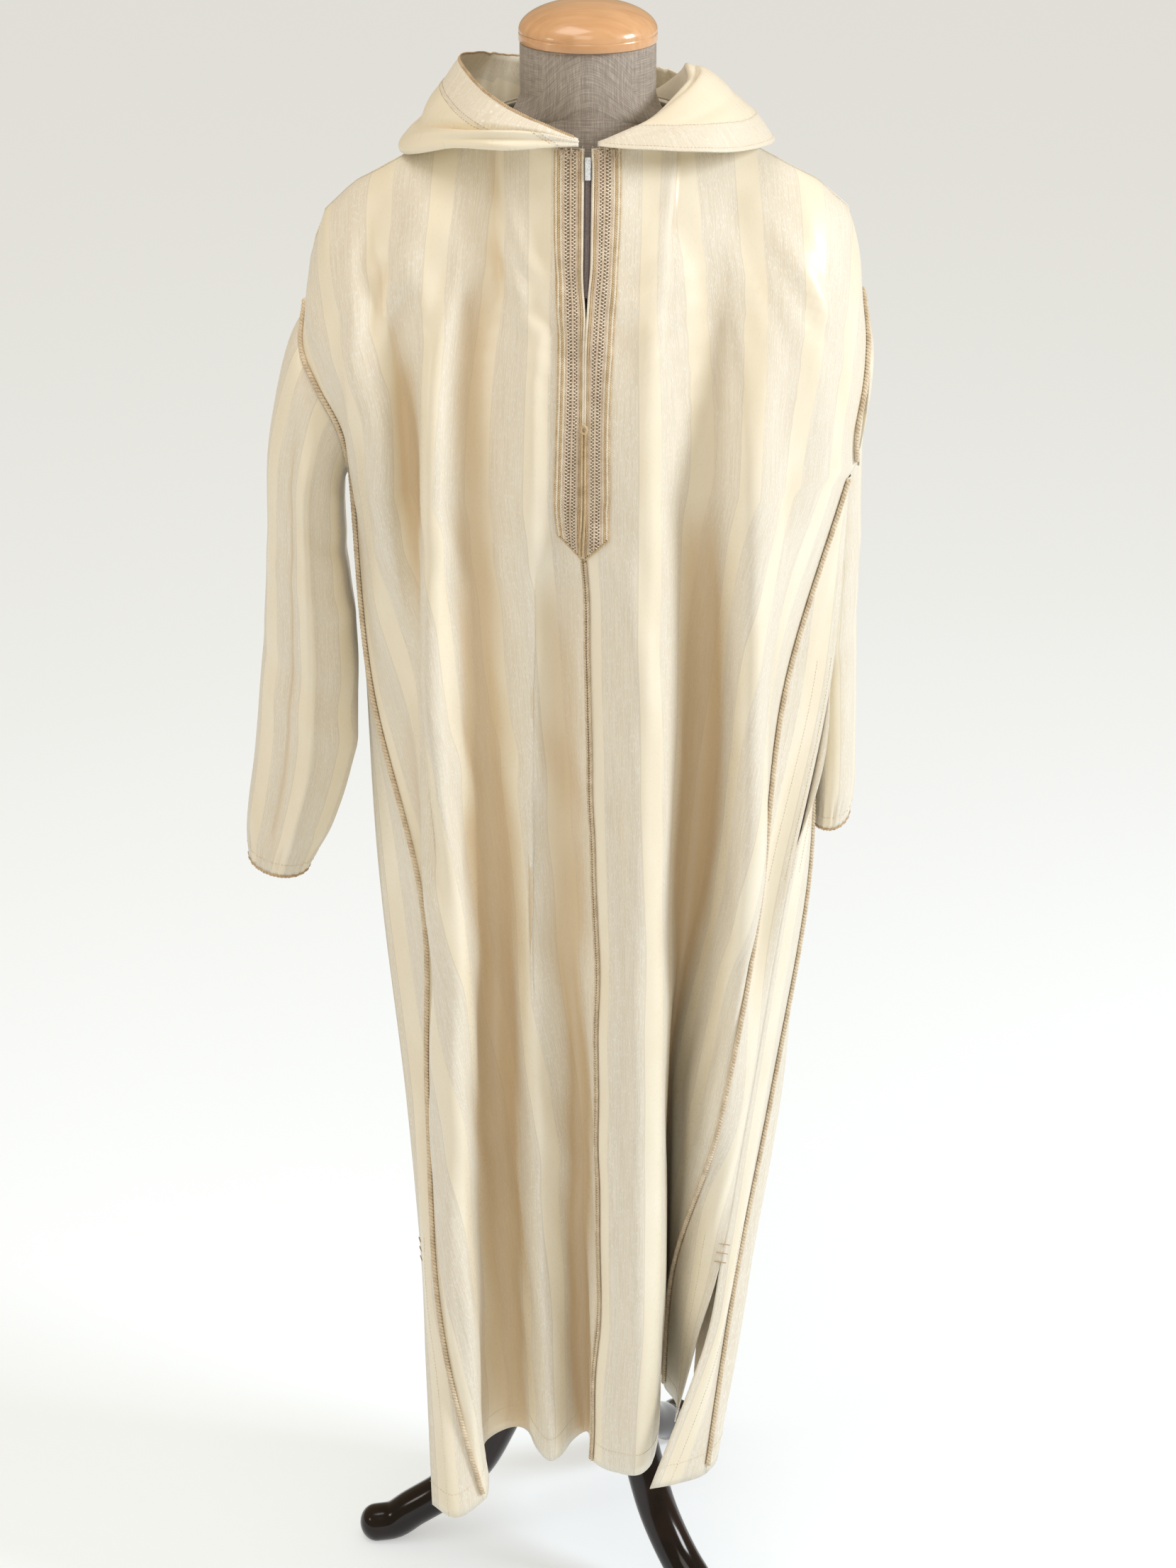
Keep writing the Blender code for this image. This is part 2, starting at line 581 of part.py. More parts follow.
def shoulder_facing(top, facing, place):
    """Normals along the shoulder line, the same on the front and the back."""
    along = np.gradient(top, axis=0)
    along[:, 1] = 0.0
    upward = np.column_stack([-along[:, 2], np.zeros(len(top)), along[:, 0]])
    upward /= np.maximum(np.linalg.norm(upward, axis=1, keepdims=True), 1e-9)
    upward *= np.where(upward[:, 2:] < 0, -1.0, 1.0)
    share = smooth(0.05, 0.09, np.abs(place))[:, None]
    mixed = upward * share + facing * (1.0 - share)
    return mixed / np.linalg.norm(mixed, axis=1, keepdims=True)


def slit(grid, name):
    """The centre edge of a front half, drawn back beside the zip."""
    grid = grid.copy()
    column = -1 if name == "front_left" else 0
    away = -1.0 if name == "front_left" else 1.0
    share = smooth(ZIP_END_Z - 0.03, ZIP_END_Z + 0.03, grid[:, column, 2])
    grid[:, column, 0] += away * ZIP_SLIT * share
    return grid


def on_panel(made, row, place):
    """The point of the front and its normal at a row number and a place across it."""
    panel, facing, places = made["front"]
    low = min(int(row), len(panel) - 2)
    share = row - low
    found = []
    for r in (low, low + 1):
        point = [np.interp(place, places[r], panel[r, :, axis]) for axis in range(3)]
        normal = [np.interp(place, places[r], facing[r, :, axis]) for axis in range(3)]
        found.append((np.array(point), np.array(normal)))
    point = found[0][0] * (1 - share) + found[1][0] * share
    normal = found[0][1] * (1 - share) + found[1][1] * share
    return point, normal / np.linalg.norm(normal)


def row_at(made, height):
    """The row number at which the centre front is at a height."""
    panel, _, places = made["front"]
    z = [np.interp(0.0, places[r], panel[r, :, 2]) for r in range(len(panel))]
    return float(np.interp(height, z, range(len(z))))


def rows_between(made, low, high):
    """The row numbers from one height to another, with every row of the panel between."""
    first, last = row_at(made, low), row_at(made, high)
    inside = [float(r) for r in range(math.ceil(first + 0.05), math.floor(last - 0.05) + 1)]
    return [first] + inside + [last]


def placket(made, braid, cord):
    """The two braided bands, the cord down their middle, and the centre-front cord."""
    lift = CLOTH / 2 + REST_GAP * 2 + BRAID_WALL / 2
    rows = rows_between(made, PLACKET_POINT_Z, PLACKET_TOP_Z)
    shares = (0.0, 0.34, 0.67, 1.0)
    slant = row_at(made, PLACKET_SHOULDER_Z) - rows[0]
    for name, side in (("left", -1.0), ("right", 1.0)):
        grid, facing = [], []
        for index, row in enumerate(rows):
            height = on_panel(made, row, 0.0)[0][2]
            open_share = float(smooth(ZIP_END_Z - 0.03, ZIP_END_Z + 0.03, height))
            inner = SEAM_GAP + (PLACKET_INNER - SEAM_GAP) * open_share
            line = []
            for share in shares:
                place = side * (inner + (PLACKET_OUTER - inner) * share)
                at = row + slant * share if index == 0 else row
                line.append(on_panel(made, at, place))
            grid.append([point + normal * lift for point, normal in line])
            facing.append([normal for _, normal in line])
        wall(f"braid_{name}", np.array(grid), np.array(facing), BRAID_WALL, braid)
    knot = rows_between(made, PLACKET_POINT_Z + 0.002, KNOT_Z)
    on_top = lift + BRAID_WALL / 2 + REST_GAP + KNOT_CORD / 2 / math.cos(math.pi / 6)
    found = [on_panel(made, row, 0.0) for row in knot]
    tube("placket_knot_cord", [p + n * on_top for p, n in found], KNOT_CORD / 2, cord)
    front = rows_between(made, on_panel(made, 0.0, 0.0)[0][2] + 0.001, PLACKET_POINT_Z - 0.002)
    found = [on_panel(made, row, 0.0) for row in front]
    line = np.array([p for p, _ in found])
    seam_cord("cord_centre_front", line, np.array([n for _, n in found]), cord)


def zip_fastener(made, tape, metal):
    """The closed zip: tape behind the slit, chain, slider, and the pull that hangs on it."""
    rows = rows_between(made, ZIP_END_Z, ZIP_TOP_Z)
    grid, facing = [], []
    under = -(CLOTH / 2 + REST_GAP + ZIP_TAPE_WALL / 2)
    for row in rows:
        found = [on_panel(made, row, p) for p in (-ZIP_TAPE_HALF, 0.0, ZIP_TAPE_HALF)]
        grid.append([p + n * under for p, n in found])
        facing.append([n for _, n in found])
    wall("zip_tape", np.array(grid), np.array(facing), ZIP_TAPE_WALL, tape)
    base = -(CLOTH / 2 + REST_GAP) + REST_GAP
    chain_rows = rows_between(made, ZIP_END_Z + 0.002, ZIP_TOP_Z - SLIDER[1] - 0.001)
    found = [on_panel(made, row, 0.0) for row in chain_rows]
    height = base + ZIP_CHAIN / 2 / math.cos(math.pi / 6)
    tube("zip_chain", [p + n * height for p, n in found], ZIP_CHAIN / 2, tape)

    top, normal = on_panel(made, row_at(made, ZIP_TOP_Z - SLIDER[1] / 2), 0.0)
    above, _ = on_panel(made, row_at(made, ZIP_TOP_Z), 0.0)
    along = (above - top) / np.linalg.norm(above - top)
    sideways = np.array([1.0, 0.0, 0.0])
    normal = np.cross(sideways, along)
    frame = np.column_stack([sideways, along, normal])
    centre = top + normal * (base + REST_GAP + SLIDER[2] / 2)
    block("zip_slider", frame, centre, SLIDER, metal)
    front = SLIDER[2] / 2 + REST_GAP + PULL[2] / 2
    hinge = centre + normal * front + along * (SLIDER[1] / 2 - PULL[2] / 2)
    hang = np.array([0.0, PULL[2] / 2 - PULL[1] / 2, 0.0])
    block("zip_pull", frame, hinge, PULL, metal, hang)


def block(name, frame, origin, size, finish, middle=(0.0, 0.0, 0.0)):
    """A small plate with its edges eased, square to a frame, its middle off its origin."""
    mesh = bpy.data.meshes.new(name)
    build = bmesh.new()
    bmesh.ops.create_cube(build, size=1.0)
    for vert in build.verts:
        vert.co = Vector(frame @ (np.array(vert.co) * np.array(size) + np.array(middle)))
    bmesh.ops.bevel(
        build, geom=build.edges[:], offset=min(size) * 0.22, segments=1, affect="EDGES"
    )
    build.to_mesh(mesh)
    build.free()
    thing = add_object(name, mesh, finish, is_smooth=False)
    thing.location = origin
    return thing


def armhole_cord(name, made, column, cord):
    """The cord beside the armhole seam, from the front over the shoulder to the back."""
    line = []
    above = len(CLOTH_ROWS)
    for side in ("front", "back"):
        panel, facing, _ = made[side]
        edge = panel[above:, column]
        inward = panel[above:, 1 if column == 0 else -2] - edge
        inward /= np.linalg.norm(inward, axis=1, keepdims=True)
        lift = CLOTH / 2 + REST_GAP * 2 + CORD / 2 / math.cos(math.pi / 6)
        points = edge + inward * ARMHOLE_CORD_IN + facing[above:, column] * lift
        points[0] += inward[0] * CORD
        line.append(points if side == "front" else points[-2::-1])
    line = np.concatenate(line)
    knots = np.arange(len(line))
    tube(name, hermite(knots, line, np.linspace(0, knots[-1], 17)), CORD / 2, cord)


def sleeve(name, sections, front, back, cloth):
    """A sleeve tube from its armhole loop to the cuff."""
    around = 20
    front = np.array(front)[:, 1:]
    back = np.array(back)[:, 1:]
    half = around // 2
    shares = np.linspace(0, 1, half + 1)
    knots = np.linspace(0, 1, len(front))
    loop = np.concatenate([hermite(knots, front, shares), hermite(knots, back, shares)[-2:0:-1]])
    outward_x = math.copysign(1.0, sections[0][1])
    rings = []
    low = smooth(0.0, 1.0, (loop[0, 2] - loop[:, 2]) / (loop[0, 2] - CHEST_Z))[:, None]
    start = loop + np.array([outward_x * SEAM_GAP, 0.0, -SEAM_GAP * 2.5])
    start += low * np.array([outward_x * (CLOTH + SEAM_GAP), 0.0, SEAM_GAP * 3])
    rings.append(start)
    angles = np.linspace(0, 2 * math.pi, around, endpoint=False)
    for _, x, y, z, wide, deep, lift in sections:
        ring = np.column_stack([
            x + outward_x * wide * np.cos(angles),
            y - deep * np.sin(angles),
            z + lift * np.cos(angles),
        ])
        rings.append(ring)
    middles = np.array([ring.mean(axis=0) for ring in rings])
    knots = np.r_[0.0, np.cumsum(np.linalg.norm(np.diff(middles, axis=0), axis=1))]
    at = np.linspace(0, knots[-1], 13)
    grid = hermite(knots, np.array(rings), at)
    down = np.gradient(grid, axis=0)
    along = np.roll(grid, -1, axis=1) - np.roll(grid, 1, axis=1)
    normal = np.cross(along, down)
    normal /= np.maximum(np.linalg.norm(normal, axis=2, keepdims=True), 1e-12)
    out = grid - grid.mean(axis=1, keepdims=True)
    normal *= math.copysign(1.0, float(np.sum(normal * out)))
    wall(name, grid, normal, CLOTH, cloth, round_it=True)


def neckline(angle):
    """The point of the neckline at an angle from the centre front, as radius and height."""
    front = angle < math.pi / 2
    turn = min(angle, math.pi - angle) / (math.pi / 2)
    deep = NECK_FRONT_Y if front else NECK_BACK_Y
    low = NECK_FRONT_Z if front else NECK_BACK_Z
    radius = math.hypot(SHOULDER[0][2] * math.sin(angle), deep * math.cos(angle))
    return radius, low + (SHOULDER[0][3] - low) * turn**2


def hood(name, table, x_sign, cloth):
    """One half of the hood, laid back round the neck and down the back."""
    steps = np.linspace(0, 1, len(table))
    at = np.linspace(0, 1, HOOD_ROWS)
    angles = hermite(steps, np.radians([[row[0]] for row in table]), at)[:, 0]
    rows = hermite(steps, np.array([row[1:] for row in table]), at)
    grid = []
    for angle, row in zip(angles, rows):
        radius, height = neckline(angle)
        seam = [radius + HOOD_SEAM_OUT, height + HOOD_SEAM_LIFT]
        profile = np.vstack([seam, row])
        line = hermite(np.linspace(0, 1, len(profile)), profile, np.linspace(0, 1, HOOD_STEPS))
        grid.append(np.column_stack([
            x_sign * line[:, 0] * math.sin(angle),
            -line[:, 0] * math.cos(angle),
            line[:, 1],
        ]))
    grid = np.array(grid)
    wall(name, grid, normals(grid, 1.0), CLOTH, cloth)


def form(linen, maple, dark):
    """The dress form: torso, neck cap, pole, hub and three legs."""
    around = 28
    angles = np.linspace(0, 2 * math.pi, around, endpoint=False)
    mesh = bpy.data.meshes.new("form_torso")
    build = bmesh.new()
    rings = []
    for z, wide, deep in TORSO:
        rings.append([
            build.verts.new((wide * math.cos(a), deep * math.sin(a), z)) for a in angles
        ])
    for low, high in zip(rings[:-1], rings[1:]):
        for index in range(around):
            after = (index + 1) % around
            build.faces.new((low[index], low[after], high[after], high[index]))
    build.faces.new(rings[0][::-1])
    build.faces.new(rings[-1])
    build.to_mesh(mesh)
    build.free()
    add_object("form_torso", mesh, linen)

    dome = [
        (CAP_RADIUS * math.sin(a), CAP_Z + CAP_BAND + CAP_DOME * math.cos(a))
        for a in np.linspace(0, math.pi / 2, 7)
    ]
    turned("neck_cap", dome + [(CAP_RADIUS, CAP_Z), (0.0, CAP_Z)], maple)
    top = TORSO[0][0] - REST_GAP
    low = HUB_HIGH + REST_GAP
    turned("pole", [(0.0, top), (POLE_RADIUS, top), (POLE_RADIUS, low), (0.0, low)], dark, steps=20)
    turned("hub", [(0.0, HUB_HIGH), (0.018, HUB_HIGH), (HUB_RADIUS, HUB_HIGH - 0.012),
                   (HUB_RADIUS, HUB_LOW + 0.02), (0.012, HUB_LOW), (0.0, HUB_LOW)], dark, steps=20)
    for name, angle in LEG_ANGLES:
        leg(name, math.radians(angle), dark)


def leg(name, angle, finish):
    """A curved leg from the hub to a rounded foot with a flat sole."""
    path = np.array(LEG_PATH)
    lengths = np.r_[0.0, np.cumsum(np.linalg.norm(np.diff(path, axis=0), axis=1))]
    run = hermite(lengths, path, np.linspace(0, lengths[-1], 12))
    forward = np.gradient(run, axis=0)
    forward[0] = path[1] - path[0]
    forward /= np.linalg.norm(forward, axis=1, keepdims=True)
    around = 12
    turn = np.linspace(0, 2 * math.pi, around, endpoint=False)
    direction = np.array([math.cos(angle), math.sin(angle)])
    sideways = np.array([-direction[1], direction[0]])
    mesh = bpy.data.meshes.new(f"leg_{name}")
    build = bmesh.new()
    rings = []
    sizes = [1.0] * len(run)
    last = run[-1]
    tip = [last + forward[-1] * LEG_RADIUS * reach for reach in (0.5, 0.85)]
    run = np.vstack([run, tip])
    forward = np.vstack([forward, forward[-1], forward[-1]])
    sizes += [0.86, 0.50]
    for place, ahead, size in zip(run, forward, sizes):
        ring = []
        for a in turn:
            side = math.sin(a) * LEG_RADIUS * size
            up = math.cos(a) * LEG_RADIUS * size
            r = place[0] - ahead[1] * up
            z = max(place[1] + ahead[0] * up, 0.0)
            flat = direction * r + sideways * side
            ring.append(build.verts.new((flat[0], flat[1], z)))
        rings.append(ring)
    for low, high in zip(rings[:-1], rings[1:]):
        for index in range(around):
            after = (index + 1) % around
            build.faces.new((low[index], low[after], high[after], high[index]))
    build.faces.new(rings[0][::-1])
    build.faces.new(rings[-1])
    bmesh.ops.recalc_face_normals(build, faces=build.faces)
    build.to_mesh(mesh)
    build.free()
    add_object(f"leg_{name}", mesh, finish)


def centre_on_origin():
    """Hang everything on one empty, so that the whole stands with its box centred."""
    bpy.context.view_layer.update()
    graph = bpy.context.evaluated_depsgraph_get()
    things = list(bpy.data.collections[COLLECTION].objects)
    points = []
    for thing in things:
        shape = thing.evaluated_get(graph)
        points.extend(thing.matrix_world @ vert.co for vert in shape.to_mesh().vertices)
        shape.to_mesh_clear()
    points = np.array(points)
    middle = (points.min(axis=0) + points.max(axis=0)) / 2
    holder = bpy.data.objects.new("stand_centre", None)
    bpy.data.collections[COLLECTION].objects.link(holder)
    holder.location = (-middle[0], -middle[1], 0.0)
    for thing in things:
        thing.parent = holder


def main():
    for thing in list(bpy.data.objects):
        bpy.data.objects.remove(thing)
    group = bpy.data.collections.new(COLLECTION)
    bpy.context.scene.collection.children.link(group)
    cloth = material("cream_striped_cloth", (0.84, 0.78, 0.65), 0.45)
    cord = material("beige_cord", (0.62, 0.50, 0.36), 0.6)
    braid = material("braid", (0.60, 0.47, 0.35), 0.7)
    tape = material("zip_tape", (0.36, 0.31, 0.33), 0.8)
    metal = material("zip_metal", (0.72, 0.76, 0.82), 0.3, 0.6)
    linen = material("linen", (0.66, 0.62, 0.55), 0.85)
    maple = material("maple", (0.72, 0.48, 0.28), 0.3)
    dark = material("dark_lacquer", (0.045, 0.028, 0.024), 0.2)
    made = body_panels(cloth, cord)
    placket(made, braid, cord)
    zip_fastener(made, tape, metal)
    armhole_cord("cord_armhole_left", made, 0, cord)
    armhole_cord("cord_armhole_right", made, -1, cord)
    sleeve("sleeve_left", SLEEVE_LEFT, ARMHOLE_FRONT_LEFT, ARMHOLE_BACK_LEFT, cloth)
    sleeve("sleeve_right", SLEEVE_RIGHT, ARMHOLE_FRONT_RIGHT, ARMHOLE_BACK_RIGHT, cloth)
    hood("hood_left", HOOD_LEFT, -1.0, cloth)
    hood("hood_right", HOOD_RIGHT, 1.0, cloth)
    form(linen, maple, dark)
    centre_on_origin()


main()
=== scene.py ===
"""Looks of a cream striped hooded robe with a braided front, standing on a dress form.

The cloth follows the same fold lines as the model, drawn finer and with its lesser folds.
Its cords, braids and stitches are laid on that cloth.  Metres, +Z up, front towards -Y.
"""

import math

import bpy
import numpy as np
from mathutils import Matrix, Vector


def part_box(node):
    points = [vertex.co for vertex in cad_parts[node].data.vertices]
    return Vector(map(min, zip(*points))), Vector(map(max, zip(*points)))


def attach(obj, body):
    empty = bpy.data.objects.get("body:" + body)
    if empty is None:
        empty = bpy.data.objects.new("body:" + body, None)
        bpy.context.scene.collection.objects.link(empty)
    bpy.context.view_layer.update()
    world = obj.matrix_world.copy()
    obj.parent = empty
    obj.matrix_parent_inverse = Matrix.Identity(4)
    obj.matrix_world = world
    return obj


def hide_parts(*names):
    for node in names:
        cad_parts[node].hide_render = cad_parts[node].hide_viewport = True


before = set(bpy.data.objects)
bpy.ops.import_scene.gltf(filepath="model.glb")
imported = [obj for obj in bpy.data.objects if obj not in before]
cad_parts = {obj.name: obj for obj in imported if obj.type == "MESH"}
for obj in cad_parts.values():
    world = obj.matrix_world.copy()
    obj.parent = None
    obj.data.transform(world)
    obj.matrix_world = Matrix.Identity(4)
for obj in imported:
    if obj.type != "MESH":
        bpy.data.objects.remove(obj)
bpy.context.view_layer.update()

CLOTH = 0.0016
SEAM_GAP = 0.0004
REST_GAP = 0.0004
CORD = 0.0050

PANEL_HALF_WIDTH = 0.330
SHOULDER_NECK_HALF = 0.078
CHEST_Z = 1.140
LEVELS = (0.200, 0.350, 0.550, 0.750, 0.950, CHEST_Z)

# Fold lines of the front, from the left side seam to the right one.  Each row gives x and
# y in millimetres at the hem, then at the knee, thigh, hip, waist and chest.
FRONT = (
    ("side_left", -146, -214, -153, -160, -168, -95, -191, -40, -201, -2, -208, -14),
    ("gore_fold_left", -124, -226, -146, -176, -158, -104, -172, -60, -200, -26, -208, -18),
    ("cord_left", -98, -208, -133, -186, -146, -112, -150, -92, -193, -50, -207, -22),
    ("turn_left", -92, -202, -120, -192, -144, -138, -128, -86, -172, -78, -196, -62),
    ("ridge_outer_left", -90, -180, -103, -190, -140, -158, -137, -148, -150, -96, -177, -102),
    ("dip_outer_left", -97, -140, -97, -160, -126, -168, -128, -156, -138, -100, -152, -88),
    ("ridge_left", -96, -112, -93, -110, -112, -166, -115, -154, -136, -142, -133, -122),
    ("valley_left", -68, -104, -74, -92, -86, -92, -86, -98, -92, -102, -96, -108),
    ("ridge_inner_left", -36, -166, -42, -148, -46, -142, -52, -140, -50, -134, -46, -130),
    ("valley_centre_left", -1, -112, -8, -106, -10, -106, -20, -118, -24, -122, -24, -128),
    ("centre_front", 4, -160, 10, -156, 9, -152, 3, -148, -3, -140, -4, -130),
    ("ridge_centre_right", 42, -182, 42, -172, 42, -164, 40, -158, 42, -148, 44, -135),
    ("edge_centre_right", 59, -166, 64, -164, 64, -156, 66, -148, 70, -138, 74, -122),
    ("valley_right", 66, 14, 72, 6, 76, -28, 93, -62, 104, -78, 106, -104),
    ("ridge_right", 72, -10, 80, -50, 96, -100, 134, -140, 142, -134, 142, -130),
    ("turn_right", 74, -24, 80, -64, 110, -138, 148, -134, 156, -116, 180, -104),
    ("cord_right", 76, -38, 82, -78, 120, -146, 151, -119, 174, -71, 226, -50),
    ("gore_fold_right", 86, -66, 94, -124, 140, -138, 158, -96, 198, -56, 230, -43),
    ("side_right", 84, -98, 108, -148, 148, -112, 178, -92, 218, -44, 230, -36),
)

# Fold lines of the back, from the right side seam round to the left one.
BACK = (
    ("vent_back_right", 58, -208, 116, -156, 148, -112, 178, -92, 218, -44, 230, -36),
    ("gore_fold_back_right", 86, -196, 128, -150, 162, -94, 194, -64, 214, -34, 228, -32),
    ("cord_back_right", 110, -184, 134, -120, 172, -62, 202, -30, 204, -20, 222, -26),
    ("ridge_side_right", 124, -150, 152, -92, 186, -24, 192, 6, 188, 12, 202, -4),
    ("dip_side_right", 104, -104, 126, -44, 156, 18, 172, 38, 176, 42, 184, 32),
    ("ridge_far_right", 134, -62, 148, -8, 164, 48, 166, 74, 168, 78, 172, 76),
    ("dip_far_right", 106, -14, 116, 28, 126, 66, 132, 82, 138, 88, 144, 82),
    ("ridge_near_right", 112, 42, 118, 78, 114, 104, 110, 116, 112, 116, 116, 110),
    ("dip_near_right", 74, 60, 76, 74, 78, 86, 80, 96, 84, 102, 88, 96),
    ("ridge_centre_back_right", 56, 106, 56, 112, 54, 120, 52, 126, 50, 124, 50, 119),
    ("dip_centre_back", 22, 88, 22, 94, 22, 102, 22, 110, 24, 112, 24, 108),
    ("centre_back", -4, 112, -4, 114, -2, 118, 0, 122, 0, 122, 0, 116),
    ("dip_centre_back_left", -32, 82, -30, 92, -28, 102, -26, 110, -26, 112, -26, 108),
    ("ridge_centre_back_left", -62, 96, -60, 110, -56, 120, -54, 124, -52, 122, -52, 118),
    ("dip_near_left", -82, 40, -82, 64, -84, 84, -86, 94, -88, 98, -90, 94),
    ("ridge_near_left", -120, 44, -122, 74, -118, 100, -114, 112, -112, 114, -116, 108),
    ("dip_far_left", -112, -12, -118, 24, -128, 60, -134, 76, -138, 84, -144, 80),
    ("ridge_far_left", -142, -46, -150, 2, -162, 46, -166, 70, -166, 76, -170, 74),
    ("dip_side_left", -118, -92, -130, -38, -152, 14, -170, 36, -176, 44, -182, 38),
    ("ridge_side_left", -140, -128, -150, -76, -166, -18, -184, 14, -190, 22, -196, 14),
    ("cord_back_left", -116, -158, -138, -104, -162, -54, -188, -10, -197, 12, -206, -6),
    ("gore_fold_back_left", -124, -174, -144, -124, -164, -76, -192, -26, -202, 6, -208, -8),
    ("vent_back_left", -138, -178, -150, -136, -168, -95, -191, -40, -201, -2, -208, -14),
)

# The hem isn't level: where it drops, as bumps along x.
HEM_DIPS = (
    # name, centre x, half width, drop, on the front
    ("flap_left", -0.122, 0.040, 0.022, True),
    ("centre", 0.030, 0.045, 0.004, True),
    ("flap_right", 0.085, 0.035, 0.004, False),
)

VENT_TOP = 0.415
VENT_EASE = 0.100
POCKET_LOW = 0.800
POCKET_HIGH = 0.940
POCKET_GAPE = 0.008

# Shoulder line from the neck outwards: half distance across the cloth, then x and z.
SHOULDER = (
    ("neck", 0.078, 0.077, 1.4520),
    ("rise", 0.118, 0.117, 1.4360),
    ("middle", 0.162, 0.158, 1.4140),
    ("slope", 0.205, 0.197, 1.3930),
    ("tip", 0.240, 0.226, 1.3680),
    ("drop", 0.285, 0.240, 1.3250),
    ("armhole", 0.330, 0.245, 1.2820),
)
NECK_FRONT_Y = -0.0740
NECK_FRONT_Z = 1.4370
NECK_BACK_Y = 0.0760
NECK_BACK_Z = 1.4500

# The armhole seams below the shoulder line, from the top down: x, y and z.
ARMHOLES = {
    ("front", "left"): (
        (-0.2450, 0.0000, 1.2820), (-0.2470, -0.0300, 1.2500), (-0.2330, -0.0520, 1.2220),
        (-0.2150, -0.0480, 1.1860), (-0.2070, -0.0220, 1.1400),
    ),
    ("front", "right"): (
        (0.2380, 0.0100, 1.2900), (0.2420, -0.0180, 1.2550), (0.2400, -0.0380, 1.2180),
        (0.2340, -0.0480, 1.1800), (0.2360, -0.0380, 1.1480),
    ),
    ("back", "left"): (
        (-0.2450, 0.0000, 1.2820), (-0.2460, 0.0300, 1.2500), (-0.2350, 0.0520, 1.2200),
        (-0.2190, 0.0400, 1.1820), (-0.2060, -0.0060, 1.1400),
    ),
    ("back", "right"): (
        (0.2380, 0.0100, 1.2900), (0.2400, 0.0440, 1.2550), (0.2340, 0.0620, 1.2200),
        (0.2260, 0.0360, 1.1820), (0.2360, -0.0380, 1.1480),
    ),
}

# Sleeve sections below the armhole: centre x, y, z, half width, half depth, and how
# much higher the outer side is than the middle.
SLEEVES = {
    "left": (
        ("underarm", -0.2370, 0.0020, 1.1920, 0.0220, 0.0600, 0.0640),
        ("upper", -0.2490, 0.0020, 1.1400, 0.0300, 0.0640, 0.0340),
        ("above_elbow", -0.2510, 0.0000, 1.0600, 0.0340, 0.0620, 0.0120),
        ("elbow", -0.2520, -0.0040, 0.9550, 0.0420, 0.0560, 0.0060),
        ("forearm", -0.2600, -0.0160, 0.8650, 0.0430, 0.0500, 0.0060),
        ("wrist", -0.2760, -0.0320, 0.8000, 0.0350, 0.0440, 0.0060),
        ("cuff", -0.2830, -0.0400, 0.7720, 0.0270, 0.0400, 0.0060),
    ),
    "right": (
        ("underarm", 0.2415, 0.0140, 1.1940, 0.0072, 0.0580, 0.0600),
        ("upper", 0.2265, 0.0460, 1.1350, 0.0195, 0.0540, 0.0340),
        ("above_elbow", 0.2255, 0.0500, 1.0600, 0.0205, 0.0600, 0.0100),
        ("elbow", 0.2250, 0.0480, 0.9550, 0.0210, 0.0640, 0.0040),
        ("forearm", 0.2270, 0.0380, 0.8700, 0.0200, 0.0620, 0.0040),
        ("wrist", 0.2260, 0.0240, 0.8200, 0.0200, 0.0520, 0.0040),
        ("cuff", 0.2240, 0.0160, 0.7960, 0.0180, 0.0460, 0.0040),
    ),
}

# Hood sections round the neck, from the zip to the centre back.  The angle is in
# degrees from the front; each pair is a radius from the neck axis and a height.  The
# first edge of each section is sewn to the neckline.
HOODS = {
    "left": (
        # angle, sole, outer roll, return, opening edge
        (6, (0.0785, 1.4400), (0.0810, 1.4420), (0.0810, 1.4445), (0.0790, 1.4465)),
        (30, (0.0920, 1.4415), (0.1030, 1.4435), (0.0990, 1.4530), (0.0860, 1.4600)),
        (58, (0.1080, 1.4450), (0.1300, 1.4390), (0.1220, 1.4540), (0.0960, 1.4760)),
        (85, (0.1220, 1.4420), (0.1560, 1.4230), (0.1380, 1.4520), (0.1080, 1.4960)),
        (112, (0.1200, 1.4380), (0.1560, 1.4170), (0.1460, 1.4480), (0.1080, 1.4930)),
        (140, (0.1240, 1.4200), (0.1720, 1.3500), (0.1820, 1.3900), (0.1120, 1.4820)),
        (162, (0.1320, 1.4000), (0.1680, 1.2600), (0.1980, 1.3300), (0.1120, 1.4740)),
        (179.6, (0.1340, 1.3900), (0.1580, 1.1700), (0.2000, 1.2900), (0.1120, 1.4720)),
    ),
    "right": (
        # angle, stand, crease, fall, opening edge
        (6, (0.0780, 1.4420), (0.0800, 1.4440), (0.0830, 1.4440), (0.0860, 1.4420)),
        (30, (0.0800, 1.4530), (0.0870, 1.4570), (0.1000, 1.4500), (0.1100, 1.4410)),
        (58, (0.0830, 1.4680), (0.0940, 1.4740), (0.1220, 1.4560), (0.1420, 1.4350)),
        (85, (0.0860, 1.4800), (0.1000, 1.4850), (0.1320, 1.4580), (0.1580, 1.4280)),
        (112, (0.0880, 1.4800), (0.1060, 1.4790), (0.1400, 1.4520), (0.1640, 1.4250)),
        (140, (0.1040, 1.4540), (0.1460, 1.4300), (0.1720, 1.4220), (0.1500, 1.4540)),
        (162, (0.1280, 1.4080), (0.1640, 1.2900), (0.1940, 1.3500), (0.1200, 1.4720)),
        (179.6, (0.1340, 1.3900), (0.1580, 1.1700), (0.2000, 1.2900), (0.1120, 1.4720)),
    ),
}
HOOD_SEAM_LIFT = 0.0022
HOOD_SEAM_OUT = 0.0008

